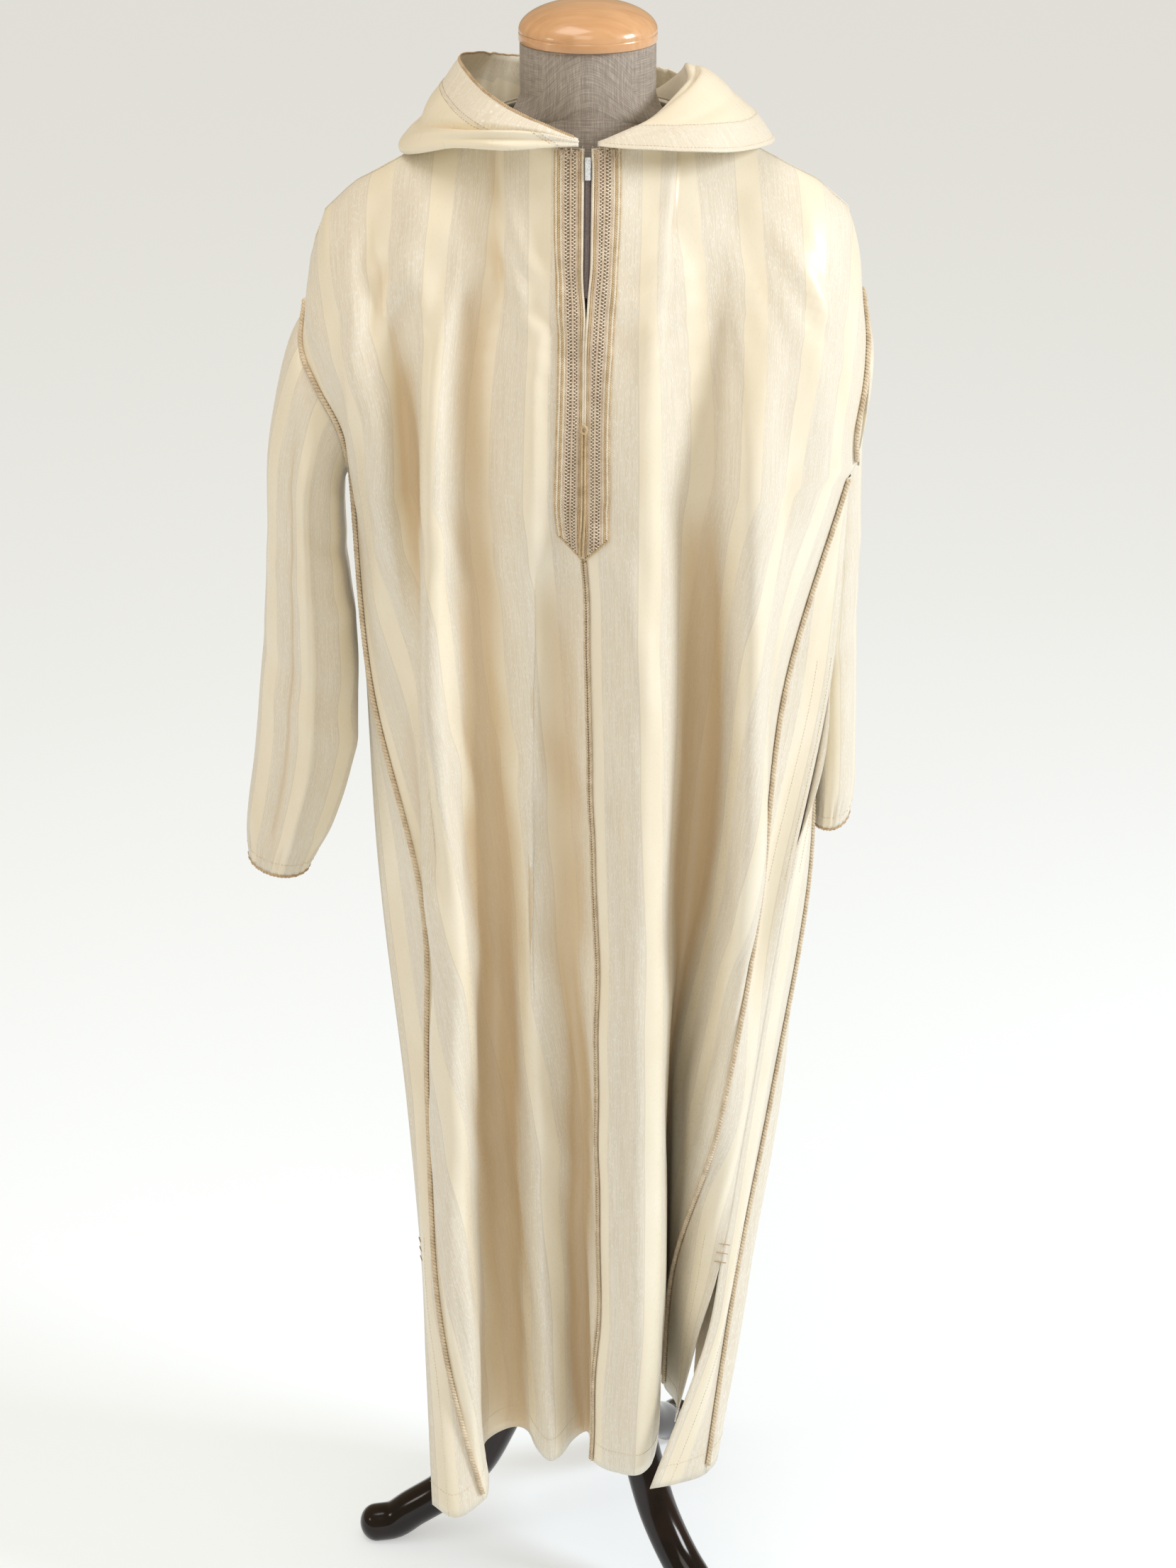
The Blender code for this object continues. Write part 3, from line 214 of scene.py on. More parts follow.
# Placket: two braided bands beside the zip, joined in a point below the slit.
PLACKET_TOP_Z = 1.4364
PLACKET_POINT_Z = 1.094
PLACKET_SHOULDER_Z = 1.113
PLACKET_INNER = 0.0032
PLACKET_OUTER = 0.0232
ZIP_END_Z = 1.318
ZIP_SLIT = 0.0030
ZIP_TOP_Z = 1.4300
SLIDER_LENGTH = 0.0090
KNOT_Z = 1.2060
ZIP_EASE = 0.0300
ARMHOLE_CORD_IN = 0.0036

# Dress form: height, then half width and half depth of the torso.
TORSO = (
    (0.7900, 0.1160, 0.0640),
    (0.7980, 0.1260, 0.0720),
    (0.8700, 0.1300, 0.0760),
    (0.9700, 0.1200, 0.0740),
    (1.0800, 0.1360, 0.0820),
    (1.2000, 0.1580, 0.0820),
    (1.2900, 0.1780, 0.0660),
    (1.3400, 0.1900, 0.0440),
    (1.3696, 0.1950, 0.0320),
    (1.3886, 0.1900, 0.0240),
    (1.3996, 0.1798, 0.0150),
    (1.4106, 0.1593, 0.0160),
    (1.4246, 0.1330, 0.0170),
    (1.4356, 0.1115, 0.0190),
    (1.4446, 0.0840, 0.0260),
    (1.4540, 0.0640, 0.0540),
    (1.4650, 0.0590, 0.0555),
    (1.5121, 0.0580, 0.0550),
)
CAP_RADIUS = 0.0590
CAP_BAND = 0.0090
CAP_DOME = 0.0251
CAP_Z = TORSO[-1][0] + REST_GAP
# The groove of the cap: shares of its radius and of its band; then its foot, with heights.
CAP_GROOVE = ((0.9985, 0.96), (0.991, 0.88), (0.9985, 0.80), (1.0, 0.70))
CAP_FOOT = ((1.0, 0.0016), (0.992, 0.0004), (0.97, 0.0), (0.0, 0.0))

POLE_RADIUS = 0.0160
POLE_BEVEL = 0.0010
HUB_RADIUS = 0.0270
HUB_LOW = 0.1850
HUB_HIGH = 0.2600
# The hub's profile: radius, then how far below its top or above its foot.
HUB_TOP = (
    (0.0, 0.0), (0.0170, 0.0), (0.0195, 0.0012), (0.0255, 0.0105), (HUB_RADIUS, 0.0140)
)
HUB_BOTTOM = (
    (HUB_RADIUS, 0.0220), (0.0255, 0.0180), (0.0140, 0.0020), (0.0110, 0.0), (0.0, 0.0)
)
LEG_RADIUS = 0.0190
LEG_SIDES = 40
TOE_LENGTH = 0.86
LEG_ANGLES = (("left", 180.0), ("front", -52.0), ("back", 64.0))
LEG_PATH = (
    # distance from the pole, height of the leg's axis
    (0.0277, 0.2240),
    (0.0370, 0.2240),
    (0.0530, 0.2130),
    (0.0700, 0.1800),
    (0.0890, 0.1350),
    (0.1120, 0.0900),
    (0.1450, 0.0540),
    (0.1780, 0.0310),
    (0.1960, 0.0180),
    (0.2140, 0.0145),
)

# Where the stripes lie across a front: a slub band and a satin band in each repeat.
STRIPE_REPEAT = 0.0570
SLUB_START = 0.0126
SLUB_WIDTH = 0.0350
LEFT_FRONT_SHIFT = -0.0130
GORE_SHIFT = -0.0300
# The slub band along the hood's opening edge, with its threads across it.
HOOD_BAND = 0.0280
SLUB_MARGIN = 0.0016
SATIN_START = SLUB_START + SLUB_WIDTH + 0.004
SATIN_DRIFT = 0.06

# Folds that run down the sleeves: angle, depth, width and how they wander.
SLEEVE_FOLDS = {
    "left": (
        (1.62, 0.0125, 0.15, 0.10), (1.14, -0.0100, 0.24, 0.08), (2.5, 0.0045, 0.35, 0.30),
        (0.4, 0.0030, 0.30, 0.2), (3.6, 0.0050, 0.40, 0.2), (4.8, 0.0040, 0.40, -0.2),
    ),
    "right": ((0.9, 0.0030, 0.35, 0.2), (1.9, 0.0040, 0.40, -0.2), (4.4, 0.0040, 0.40, 0.2)),
}
# Creases across the sleeves: share of the way down, depth, width and the side they face.
SLEEVE_CREASES = {
    "left": (
        (0.42, 0.0026, 0.030, 1.9), (0.60, -0.0026, 0.035, 1.6), (0.70, 0.0024, 0.030, 2.2),
        (0.30, -0.0024, 0.030, 2.5),
    ),
    "right": ((0.45, 0.0020, 0.030, 1.4), (0.62, -0.0020, 0.035, 1.6)),
}
# Folds of the hood: angle, place across, depth, width across, reach round, slant.
HOOD_FOLDS = {
    "left": (
        (42, 0.765, -0.0095, 0.036, 32, -0.10), (44, 0.685, 0.0075, 0.050, 34, -0.08),
        (48, 0.54, 0.0045, 0.07, 34, 0.0), (30, 0.40, -0.0030, 0.04, 20, 0.10),
        (95, 0.50, 0.0040, 0.07, 22, 0.05), (110, 0.72, -0.0030, 0.06, 25, 0.10),
        (140, 0.45, 0.0050, 0.08, 18, 0.0), (34, 0.50, 0.0020, 0.05, 14, 0.2),
    ),
    "right": (
        (60, 0.30, 0.0030, 0.05, 18, 0.05), (84, 0.38, -0.0040, 0.05, 16, -0.10),
        (100, 0.30, 0.0040, 0.05, 16, 0.08), (118, 0.45, -0.0030, 0.06, 16, 0.10),
        (70, 0.68, -0.0012, 0.03, 40, 0.0), (140, 0.5, 0.0040, 0.08, 18, 0.0),
    ),
}

# Lesser folds of the front: kind, depth and half width in millimetres, then height and x
# of each point of the run.
FRONT_FOLDS = (
    ("crest", 7.0, 13.0, 1385, -205, 1350, -200, 1260, -199, 1165, -200, 1100, -198),
    ("crest", 6.5, 15.0, 1420, -140, 1350, -155, 1280, -170, 1210, -175, 1080, -180, 1000, -184),
    ("crest", 9.0, 14.0, 1330, -110, 1270, -126, 1230, -130, 1140, -133, 940, -137, 740, -138),
    ("groove", 6.0, 18.0, 1350, -128, 1270, -146, 1200, -152, 1080, -156, 900, -160),
    ("groove", 5.0, 20.0, 1330, -80, 1250, -98, 1150, -104, 950, -108, 760, -104),
    ("crest", 3.2, 9.0, 1345, -27, 1300, -34, 1265, -43, 1200, -46, 1130, -48),
    ("groove", 2.6, 12.0, 1320, -44, 1260, -62, 1180, -68, 1110, -70),
    ("crest", 4.0, 13.0, 1320, 60, 1270, 52, 1200, 50, 1100, 52, 950, 50, 760, 48),
    ("groove", 4.5, 18.0, 1330, 98, 1270, 96, 1200, 92, 1080, 92, 900, 92, 700, 88),
    ("crest", 7.0, 17.0, 1340, 120, 1270, 128, 1200, 136, 1100, 142, 950, 146, 760, 150),
    ("groove", 5.0, 18.0, 1330, 160, 1250, 166, 1150, 172, 1050, 172, 900, 166),
    ("crest", 4.5, 14.0, 1370, 190, 1300, 196, 1200, 204, 1100, 206, 1000, 198),
    ("crest", 4.0, 14.0, 900, -66, 750, -60, 550, -56, 350, -50, 200, -44),
    ("crest", 3.5, 12.0, 800, 22, 650, 24, 500, 22, 350, 22, 200, 20),
    ("groove", 3.5, 12.0, 900, 30, 700, 32, 500, 30, 350, 30, 200, 28),
    ("crest", 3.5, 10.0, 600, -118, 450, -116, 300, -108, 200, -104),
    # the deep falls of the skirt
    ("groove", 9.0, 55.0, 1080, -10, 960, -6, 850, 0, 700, 8),
    ("groove", 9.0, 24.0, 1120, -24, 1000, -46, 900, -52, 780, -64, 650, -76, 480, -82, 200, -85),
    ("crest", 5.5, 13.0, 1040, -117, 900, -113, 780, -115, 600, -122, 400, -126, 200, -128),
    ("crest", 6.0, 16.0, 860, 38, 700, 41, 500, 45, 350, 47, 200, 47),
    ("groove", 5.0, 16.0, 860, -50, 720, -47, 560, -45, 400, -44, 200, -43),
    ("groove", 5.0, 12.0, 700, 2, 520, -4, 350, -8, 200, -10),
    ("groove", 5.5, 20.0, 1150, 84, 1000, 98, 880, 104, 760, 98),
    ("crest", 4.5, 16.0, 1130, 36, 1000, 40, 880, 38, 800, 36),
)
# Small ripples that the pull of the shoulders and the zip leaves in the front.
DRAG_RIPPLES = (
    # x, z, reach across, reach along, depth, wave length, slant
    (0.060, 1.300, 0.032, 0.090, 0.0015, 0.056, -2.00),
    (-0.055, 1.290, 0.026, 0.080, 0.0011, 0.056, 2.20),
    (0.150, 1.330, 0.045, 0.060, 0.0012, 0.026, 0.45),
    (-0.165, 1.320, 0.040, 0.070, 0.0013, 0.026, -0.40),
    (0.190, 1.060, 0.040, 0.120, 0.0014, 0.030, -0.30),
    (0.010, 0.980, 0.070, 0.120, 0.0008, 0.034, 0.20),
)

FINE_FRONT = 9
FINE_BACK = 6
BODY_ROW = 0.0085
YOKE_FINE = 40
SLEEVE_ROWS = 84
SLEEVE_AROUND = 80
HOOD_FINE_ROWS = 110
HOOD_FINE_STEPS = 72
SHEET_WALL = 0.0010
VALLEY_DEEP = 0.011
VALLEY_REACH = 0.055
HEM_FOLD = 0.022
CUFF_STITCH = 0.0110
POCKET_STITCHES = (0.0035, 0.0190)
HOOD_STITCHES = {"left": (0.0262, 0.0300), "right": (0.0285, 0.0040)}
# The linen of the neck goes on below the neckline, a little wider.
NECK_LOW = 1.4050
NECK_FLARE = 0.00450

# Sewn threads: pitch, length and radius of each, and their slant to the line.
TOPSTITCH = (0.0031, 0.0022, 0.00028, 0.0)
OVERCAST = (0.0017, 0.0040, 0.00080, 1.4)
TACK = (0.0040, 0.0040, 0.00045, 0.0)
# A thread's rings: share of its length, share of its radius.
STITCH_RINGS = np.array([(-0.5, 0.0), (-0.36, 1.0), (0.36, 1.0), (0.5, 0.0)])
STITCH_SINK = 0.35
STITCH_SIDES = 6

# Twisted cords: half width and half depth of the twist, its pitch, less than 0 where it
# turns the other way, the step between points, lift off the cloth, and how far a doubled
# cord's two parts lie to the sides.
SEAM_TWIST = (0.00125, 0.00115, 0.0064, 0.0009, 0.0, 0.0)
CENTRE_TWIST = (0.00075, 0.00075, -0.0048, 0.0009, -0.0006, 0.0016)
LOOP_TWIST = (0.00045, 0.00045, -0.0040, 0.0007, 0.0042, 0.0014)
COIL_TWIST = (0.00085, 0.00075, 0.0024, 0.0003, 0.0008, 0.00075)
EDGE_TWIST = (0.0006, 0.0006, 0.0040, 0.0007, 0.0018, 0.0)
CUFF_TWIST = (0.0007, 0.0007, 0.0070, 0.0012, 0.0, 0.0)
SEAM_CORD_RISE = 0.82
CENTRE_CORD_POINTS = 130
LOOP_RADIUS = 0.0024
LOOP_STRETCH = 1.4

BRAID_GROUND_LIFT = 0.0012
BRAID_GROUND_WALL = 0.0011
BRAID_GROUND_STEPS = 15
BRAID_STEP = 0.0006
BRAID_UNEVEN = 0.0006
BRAID_EDGE = 1.03
BRAID_EDGE_RADIUS = 0.00075
RUNG_LEAN = 0.45
# Strands, depth as a share of a strand's radius, stretch of the pitch, lift off the cloth.
BRAID_KINDS = {"twist": (2, 0.8, 1.0, 0.0022), "chain": (3, 0.55, 1.6, 0.0021)}
BRAID_COLUMNS = (
    # share across, kind, strand radius, half width, pitch, colour
    (0.975, "twist", 0.00072, 0.00062, 0.0036, "light"),
    (0.885, "twist", 0.00072, 0.00066, 0.0040, "gold"),
    (0.805, "twist", 0.00056, 0.00050, 0.0032, "light"),
    (0.720, "chain", 0.00054, 0.00090, 0.0042, "tan"),
    (0.590, "ladder", 0.00070, 0.00185, 0.0030, "light"),
    (0.450, "twist", 0.00058, 0.00052, 0.0034, "tan"),
    (0.340, "ladder", 0.00066, 0.00150, 0.0030, "light"),
    (0.225, "chain", 0.00052, 0.00085, 0.0042, "tan"),
    (0.125, "twist", 0.00060, 0.00056, 0.0036, "gold"),
    (0.030, "twist", 0.00068, 0.00060, 0.0036, "light"),
)

# The dress form's own fineness, and how far its skin lies inside the model's.
FORM_ROWS = 150
NECK_ROWS = 44
FORM_AROUND = 97
FORM_INSET = 0.9985
NECK_OVER_TORSO = 1.0004
LINEN_RADIUS = 0.058
SMOOTH_NECK_Z = 1.445
NECK_FLARE_TOP = 1.46
TINY = 1e-12
SHORTEST_CHORD = 1e-4
SHORTEST_CUT = 0.011
# How the rows above the chest leave it and reach the neck and shoulder.
ARMHOLE_PULL = 0.20
SHOULDER_LEAN = 0.62
NECK_LEAN_LESS = 0.34
NECK_RISE = 0.75
HEM_DIP_ROWS = 1.2
CREST_ROUNDNESS = 0.06
PLACKET_CALM = 0.85
WAVE_COUNT = 7
PANEL_WAVE = 0.0011
HOOD_WAVE = 0.0009
HOOD_MIDDLE_Z = 1.36
CREASE_BOW = 0.05
CUFF_GATHER = 0.0010
CUFF_GATHERS = 23

# Yarns and slub dashes in millimetres.
SLUB_THREAD = 0.80
SLUB_DASH = 3.6
LINEN_YARN = 0.85
# Colours, each pair from the first to the second.
SLUB_COLOURS = ((0.780, 0.722, 0.605), (0.862, 0.815, 0.712))
DASH_COLOUR = (0.940, 0.915, 0.850)
SATIN_COLOURS = ((0.892, 0.822, 0.662), (0.930, 0.872, 0.735))
LINE_COLOUR = (0.560, 0.530, 0.460)
# the warm tan of the painted shade, mixed into the cloth's colour in its valleys
VALLEY_PAINTED_SHADE = (0.660, 0.475, 0.250)
LINEN_COLOURS = ((0.300, 0.262, 0.236), (0.600, 0.548, 0.500))
MAPLE_COLOURS = ((0.640, 0.345, 0.165), (0.780, 0.460, 0.245))
LACQUER_COLOURS = ((0.007, 0.0035, 0.003), (0.020, 0.010, 0.008))
TAPE_COLOURS = ((0.220, 0.180, 0.190), (0.400, 0.350, 0.360))
ENAMEL_COLOURS = ((0.780, 0.830, 0.900), (0.480, 0.520, 0.600))
THREADS = (
    # name, roughness, dark, light
    ("seam_cord", 0.55, (0.600, 0.480, 0.335), (0.850, 0.745, 0.585)),
    # the band's real woven ground, coloured dark brown as painted shade between the cords
    ("braid_ground", 0.7, (0.270, 0.185, 0.125), (0.420, 0.310, 0.225)),
    ("braid_tan", 0.55, (0.640, 0.510, 0.390), (0.850, 0.735, 0.600)),
    ("braid_light", 0.55, (0.790, 0.700, 0.560), (0.950, 0.895, 0.785)),
    ("braid_gold", 0.55, (0.500, 0.360, 0.190), (0.740, 0.590, 0.380)),
    ("cream_sewing", 0.55, (0.660, 0.580, 0.440), (0.860, 0.790, 0.660)),
    ("tan_sewing", 0.55, (0.440, 0.310, 0.180), (0.660, 0.510, 0.330)),
)
FLOOR_COLOUR = (0.72, 0.82, 0.94, 1.0)
AIR_COLOUR = (1.0, 0.825, 0.57, 1.0)
AIR_STRENGTH = 0.40
BACKDROP_COLOUR = (0.86, 0.86, 0.85, 1.0)
LAMPS = (
    # name, place, aim, size, watts, colour
    ("key", (2.6, -0.72, 2.4), (0.0, 0.0, 0.9), 0.9, 54.0, (0.95, 0.98, 1.0)),
    ("fill", (-0.3, -2.0, 3.0), (0.0, 0.0, 1.25), 1.2, 10.0, (1.0, 0.94, 0.84)),
    ("side", (-2.3, -1.1, 1.7), (-0.2, 0.0, 1.1), 0.5, 5.0, (1.0, 0.94, 0.84)),
    ("top", (-0.6, -0.5, 3.3), (0.0, 0.0, 1.1), 1.2, 15.0, (1.0, 0.98, 0.95)),
)
SENSOR = 36.0
CAMERA_FOCUS = 5000.0 / 2212.0
CAMERA_BACK = 3.0
CAMERA_HIGH = 2.12
CAMERA_DOWN = 23.3

# The stand's axis: all the points below are counted from it.
MIDDLE = (np.array(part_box("pole")[0]) + np.array(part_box("pole")[1])) / 2 * (1, 1, 0)


def cubic(s, start, leave, end, arrive):
    """The curve from start to end at the share s, with its slopes at both ends."""
    return (
        start * (2 * s**3 - 3 * s**2 + 1)
        + leave * (s**3 - 2 * s**2 + s)
        + end * (3 * s**2 - 2 * s**3)
        + arrive * (s**3 - s**2)
    )


def hermite(knots, values, at):
    """A smooth curve through rows of values, read at the given places."""
    knots, values = np.asarray(knots, float), np.asarray(values, float)
    at = np.atleast_1d(np.asarray(at, float))
    shape = (-1,) + (1,) * (values.ndim - 1)
    gaps = np.diff(knots)
    rates = np.diff(values, axis=0) / gaps.reshape(shape)
    before, after = gaps[:-1].reshape(shape), gaps[1:].reshape(shape)
    inner = (rates[:-1] * after + rates[1:] * before) / (before + after)
    slopes = np.concatenate([rates[:1], inner, rates[-1:]])
    span = np.clip(np.searchsorted(knots, at, side="right") - 1, 0, len(gaps) - 1)
    step = gaps[span].reshape(shape)
    s = ((at - knots[span]) / gaps[span]).reshape(shape)
    return cubic(s, values[span], slopes[span] * step, values[span + 1], slopes[span + 1] * step)


def smooth(low, high, value):
    """0 below low, 1 above high, with a soft start and end."""
    share = np.clip((np.asarray(value, float) - low) / (high - low), 0.0, 1.0)
    return share * share * (3 - 2 * share)


def unit(vectors):
    return vectors / np.maximum(np.linalg.norm(vectors, axis=-1, keepdims=True), TINY)


def arc_along(points):
    """The distance down from the first row, along a line or the columns of a grid."""
    steps = np.linalg.norm(np.diff(points, axis=0), axis=-1)
    return np.concatenate([np.zeros_like(steps[:1]), np.cumsum(steps, axis=0)])


def arc_across(grid):
    return arc_along(grid.swapaxes(0, 1)).T


def interp_rows(at, knots, rows):
    """Rows of values read between their knots in straight steps."""
    return np.stack([np.interp(at, knots, column) for column in rows.T], axis=-1)


def closed(grid):
    """A grid that runs round, with its first column repeated at the end."""
    return np.concatenate([grid, grid[:, :1]], axis=1)


def section(table, z, steps):
    """The cloth's run at one height, with the same number of steps between fold lines."""
    lines = np.array([row[1:] for row in table], float).reshape(len(table), -1, 2) / 1000.0
    places = hermite(LEVELS, lines.transpose(1, 0, 2), z)[0]
    chords = np.linalg.norm(np.diff(places, axis=0), axis=1)
    knots = np.r_[0.0, np.cumsum(np.sqrt(np.maximum(chords, SHORTEST_CHORD)))]
    at = [np.linspace(low, high, steps, endpoint=False) for low, high in zip(knots, knots[1:])]
    run = hermite(knots, places, np.r_[(*at, knots[-1])])
    return np.column_stack([run, np.full(len(run), z)])


def body_grid(table, steps, rows, front):
    """Rows of sections from the hem, which dips in places, to the chest."""
    heights = np.interp(rows, range(len(LEVELS)), LEVELS)
    grid = np.array([section(table, z, steps) for z in heights])
    drop = np.zeros(grid.shape[:2])
    for _, centre, half, depth, on_front in HEM_DIPS:
        if on_front == front:
            drop += depth * np.exp(-(((grid[:, :, 0] - centre) / half) ** 2))
    fade = 1.0 - smooth(0.0, HEM_DIP_ROWS, np.asarray(rows))
    grid[:, :, 2] -= drop * fade[:, None]
    return grid


def cloth_place(row, first, centre, last):
    """The place of each point of a panel across the cut cloth, from its centre line."""
    run = arc_along(row)
    run = run - run[centre]
    left = np.interp(run, [run[first], 0.0], [-PANEL_HALF_WIDTH, 0.0])
    right = np.interp(run, [0.0, run[last]], [0.0, PANEL_HALF_WIDTH])
    return np.where(run < 0, left, right)


def top_line(place, neck_y, neck_z):
    """The upper edge of a panel: the neckline, then the shoulder line."""
    size = np.abs(place)
    table = np.array([row[1:] for row in SHOULDER])
    turn = np.clip(size / SHOULDER_NECK_HALF, 0.0, 1.0)
    on_neck = turn < 1.0
    x = np.interp(size, np.r_[0.0, table[:, 0]], np.r_[0.0, table[:, 1]])
    z = np.interp(size, table[:, 0], table[:, 2])
    x = np.where(on_neck, table[0, 1] * np.sin(turn * math.pi / 2), x)
    y = neck_y * np.cos(turn * math.pi / 2)
    z = np.where(on_neck, neck_z + (table[0, 2] - neck_z) * turn**2, z)
    return np.column_stack([x * np.sign(place), y, z])


def yoke_grid(chest, place, shares, neck_y, neck_z, seams):
    """Rows above the chest, from the chest row up to the neck and shoulder line."""
    top = top_line(place, neck_y, neck_z)
    corner = top_line(np.sign(place) * PANEL_HALF_WIDTH, neck_y, neck_z)
    ends = np.where(place[:, None] < 0, np.array(seams[0][0]), np.array(seams[1][0]))
    pull = smooth(ARMHOLE_PULL, PANEL_HALF_WIDTH, np.abs(place))[:, None]
    top = top + (ends - corner) * pull
    neckness = 1.0 - smooth(0.02, 0.08, np.abs(place))
    reach = np.linalg.norm(top - chest, axis=1)
    start = reach[:, None] * np.array([0.0, 0.0, 1.0])
    lean = np.column_stack([
        np.zeros_like(reach),
        math.copysign(1.0, -neck_y) * reach * (SHOULDER_LEAN - NECK_LEAN_LESS * neckness),
        reach * NECK_RISE * neckness,
    ])
    rows = []
    for share in shares:
        row = cubic(share, chest, start, top, lean)
        for seam, index, sign in ((seams[0], 0, -1), (seams[1], -1, 1)):
            target = hermite(np.linspace(0, 1, len(seam)), seam, 1.0 - share)[0]
            pull = smooth(ARMHOLE_PULL, PANEL_HALF_WIDTH, place * sign)[:, None]
            row = row + (target - row[index]) * pull
        rows.append(row)
    return np.array(rows)


def normals(grid, outward):
    """Unit normals of a grid of points, turned over where outward is -1."""
    return unit(np.cross(np.gradient(grid, axis=1), np.gradient(grid, axis=0))) * outward


def shoulder_facing(top, facing, place):
    """Normals along the shoulder line, the same on the front and the back."""
    along = np.gradient(top, axis=0)
    upward = unit(np.column_stack([-along[:, 2], np.zeros(len(top)), along[:, 0]]))
    upward *= np.where(upward[:, 2:] < 0, -1.0, 1.0)
    share = smooth(0.05, 0.09, np.abs(place))[:, None]
    return unit(upward * share + facing * (1.0 - share))


def neckline(angle):
    """The neckline at an angle from the centre front, as radius and height."""
    front = angle < math.pi / 2
    turn = min(angle, math.pi - angle) / (math.pi / 2)
    deep, low = (NECK_FRONT_Y, NECK_FRONT_Z) if front else (NECK_BACK_Y, NECK_BACK_Z)
    radius = math.hypot(SHOULDER[0][2] * math.sin(angle), deep * math.cos(angle))
    return radius, low + (SHOULDER[0][3] - low) * turn**2


def fold_field(x, z):
    """How far the lesser folds and ripples move the front cloth outwards."""
    moved = np.zeros_like(x)
    for kind, depth, width, *run in FRONT_FOLDS:
        run = np.array(run, float).reshape(-1, 2)[::-1] / 1000.0
        low, high = run[0, 0], run[-1, 0]
        centre = hermite(run[:, 0], run[:, 1], np.clip(z.ravel(), low, high))
        off = (x - centre.reshape(x.shape)) / (width / 1000.0)
        ends = smooth(low - 0.06, low + 0.05, z) * (1.0 - smooth(high - 0.05, high + 0.05, z))
        if kind == "crest":
            shape = np.exp(-np.sqrt(off**2 + CREST_ROUNDNESS) * 1.5) * 1.4
        else:
            shape = -np.exp(-(off**2))
        moved += depth / 1000.0 * shape * ends
    for cx, cz, wide, long, depth, wave, slant in DRAG_RIPPLES:
        away = ((x - cx) / wide) ** 2 + ((z - cz) / long) ** 2
        along = (x - cx) + slant * (z - cz)
        moved += depth * np.sin(2 * math.pi * along / wave) * np.exp(-away)
    return moved


def soft_waves(grid, seed, depth):
    """Slow uneven waves in a cloth, from a few crossing sines."""
    random = np.random.default_rng(seed)
    u, v = arc_across(grid), arc_along(grid)
    total = np.zeros_like(u)
    for _ in range(WAVE_COUNT):
        across_wave = random.uniform(0.030, 0.085)
        along_wave = random.uniform(0.14, 0.45)
        turn = random.uniform(0, 2 * math.pi)
        total += np.sin(2 * math.pi * (u / across_wave + v / along_wave) + turn)
    return total * depth / 3.0


def valley_of(grid, normal, reach):
    """How deep each point of a grid lies between its neighbours, from 0 to 1; it masks the
    cloth's painted shade.
    """
    deepest = np.zeros(grid.shape[:2])
    for span, full in ((reach, VALLEY_DEEP), (max(2, reach // 3), VALLEY_DEEP / 4)):
        kernel = np.exp(-(np.linspace(-2, 2, 2 * span + 1) ** 2))
        kernel /= kernel.sum()
        padded = np.pad(grid, ((0, 0), (span, span), (0, 0)), mode="edge")
        smoothed = np.zeros_like(grid)
        for index, weight in enumerate(kernel):
            smoothed += weight * padded[:, index:index + grid.shape[1]]
        depth = np.sum((smoothed - grid) * normal, axis=2)
        deepest = np.maximum(deepest, depth / full)
    return np.clip(deepest, 0.0, 1.0)


def new_mesh(name, points, faces, edges=()):
    """A mesh of points counted from the stand's axis."""
    mesh = bpy.data.meshes.new(name)
    mesh.from_pydata((np.reshape(points, (-1, 3)) + MIDDLE).tolist(), edges, faces)
    return mesh


def put(name, mesh, finish):
    """Link a mesh as a piece of the robe, in its one material."""
    thing = bpy.data.objects.new(name, mesh)
    bpy.context.scene.collection.objects.link(thing)
    mesh.materials.append(finish)
    mesh.shade_smooth()
    return thing


def settle(thing, replaced=None):
    """Put a piece on the robe's body and, where one is named, in place of a node."""
    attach(thing, "robe")
    if replaced:
        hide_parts(replaced)
    return thing


def work_on(thing, *steps):
    """Run operators with one object alone selected."""
    bpy.ops.object.select_all(action="DESELECT")
    bpy.context.view_layer.objects.active = thing
    thing.select_set(True)
    for step in steps:
        step()
    thing.select_set(False)


def edit(thing, *steps):
    """Run mesh operators on the whole of an object."""
    def run():
        bpy.ops.object.mode_set(mode="EDIT")
        for step in steps:
            bpy.ops.mesh.select_all(action="SELECT")
            step()
        bpy.ops.object.mode_set(mode="OBJECT")
    work_on(thing, run)


def weld():
    bpy.ops.mesh.remove_doubles(threshold=0.00002)


def face_outwards():
    bpy.ops.mesh.normals_make_consistent(inside=False)


def keep_edges(thing, degrees):
    """Shade smooth, but for edges sharper than an angle."""
    work_on(thing, lambda: bpy.ops.object.shade_smooth_by_angle(angle=math.radians(degrees)))


def modify(thing, kind, **settings):
    """Apply one modifier to an object."""
    change = thing.modifiers.new("change", kind)
    for key, value in settings.items():
        setattr(change, key, value)
    work_on(thing, lambda: bpy.ops.object.modifier_apply(modifier=change.name))


def thicken(thing, wall=SHEET_WALL):
    """Give a sheet its thickness, half to each side."""
    modify(thing, "SOLIDIFY", thickness=wall, offset=0.0, use_rim=True)


def quads(index, after):
    """Faces between two sets of columns of point numbers."""
    return np.stack([index[:-1], after[:-1], after[1:], index[1:]], axis=-1).reshape(-1, 4)


def ring_faces(first, count, sides, capped=True):
    """Faces of a tube of rings, whose points are numbered on from the first."""
    index = first + np.arange(count * sides).reshape(count, sides)
    faces = quads(index, np.roll(index, -1, axis=1)).tolist()
    return faces + ([index[0][::-1].tolist(), index[-1].tolist()] if capped else [])


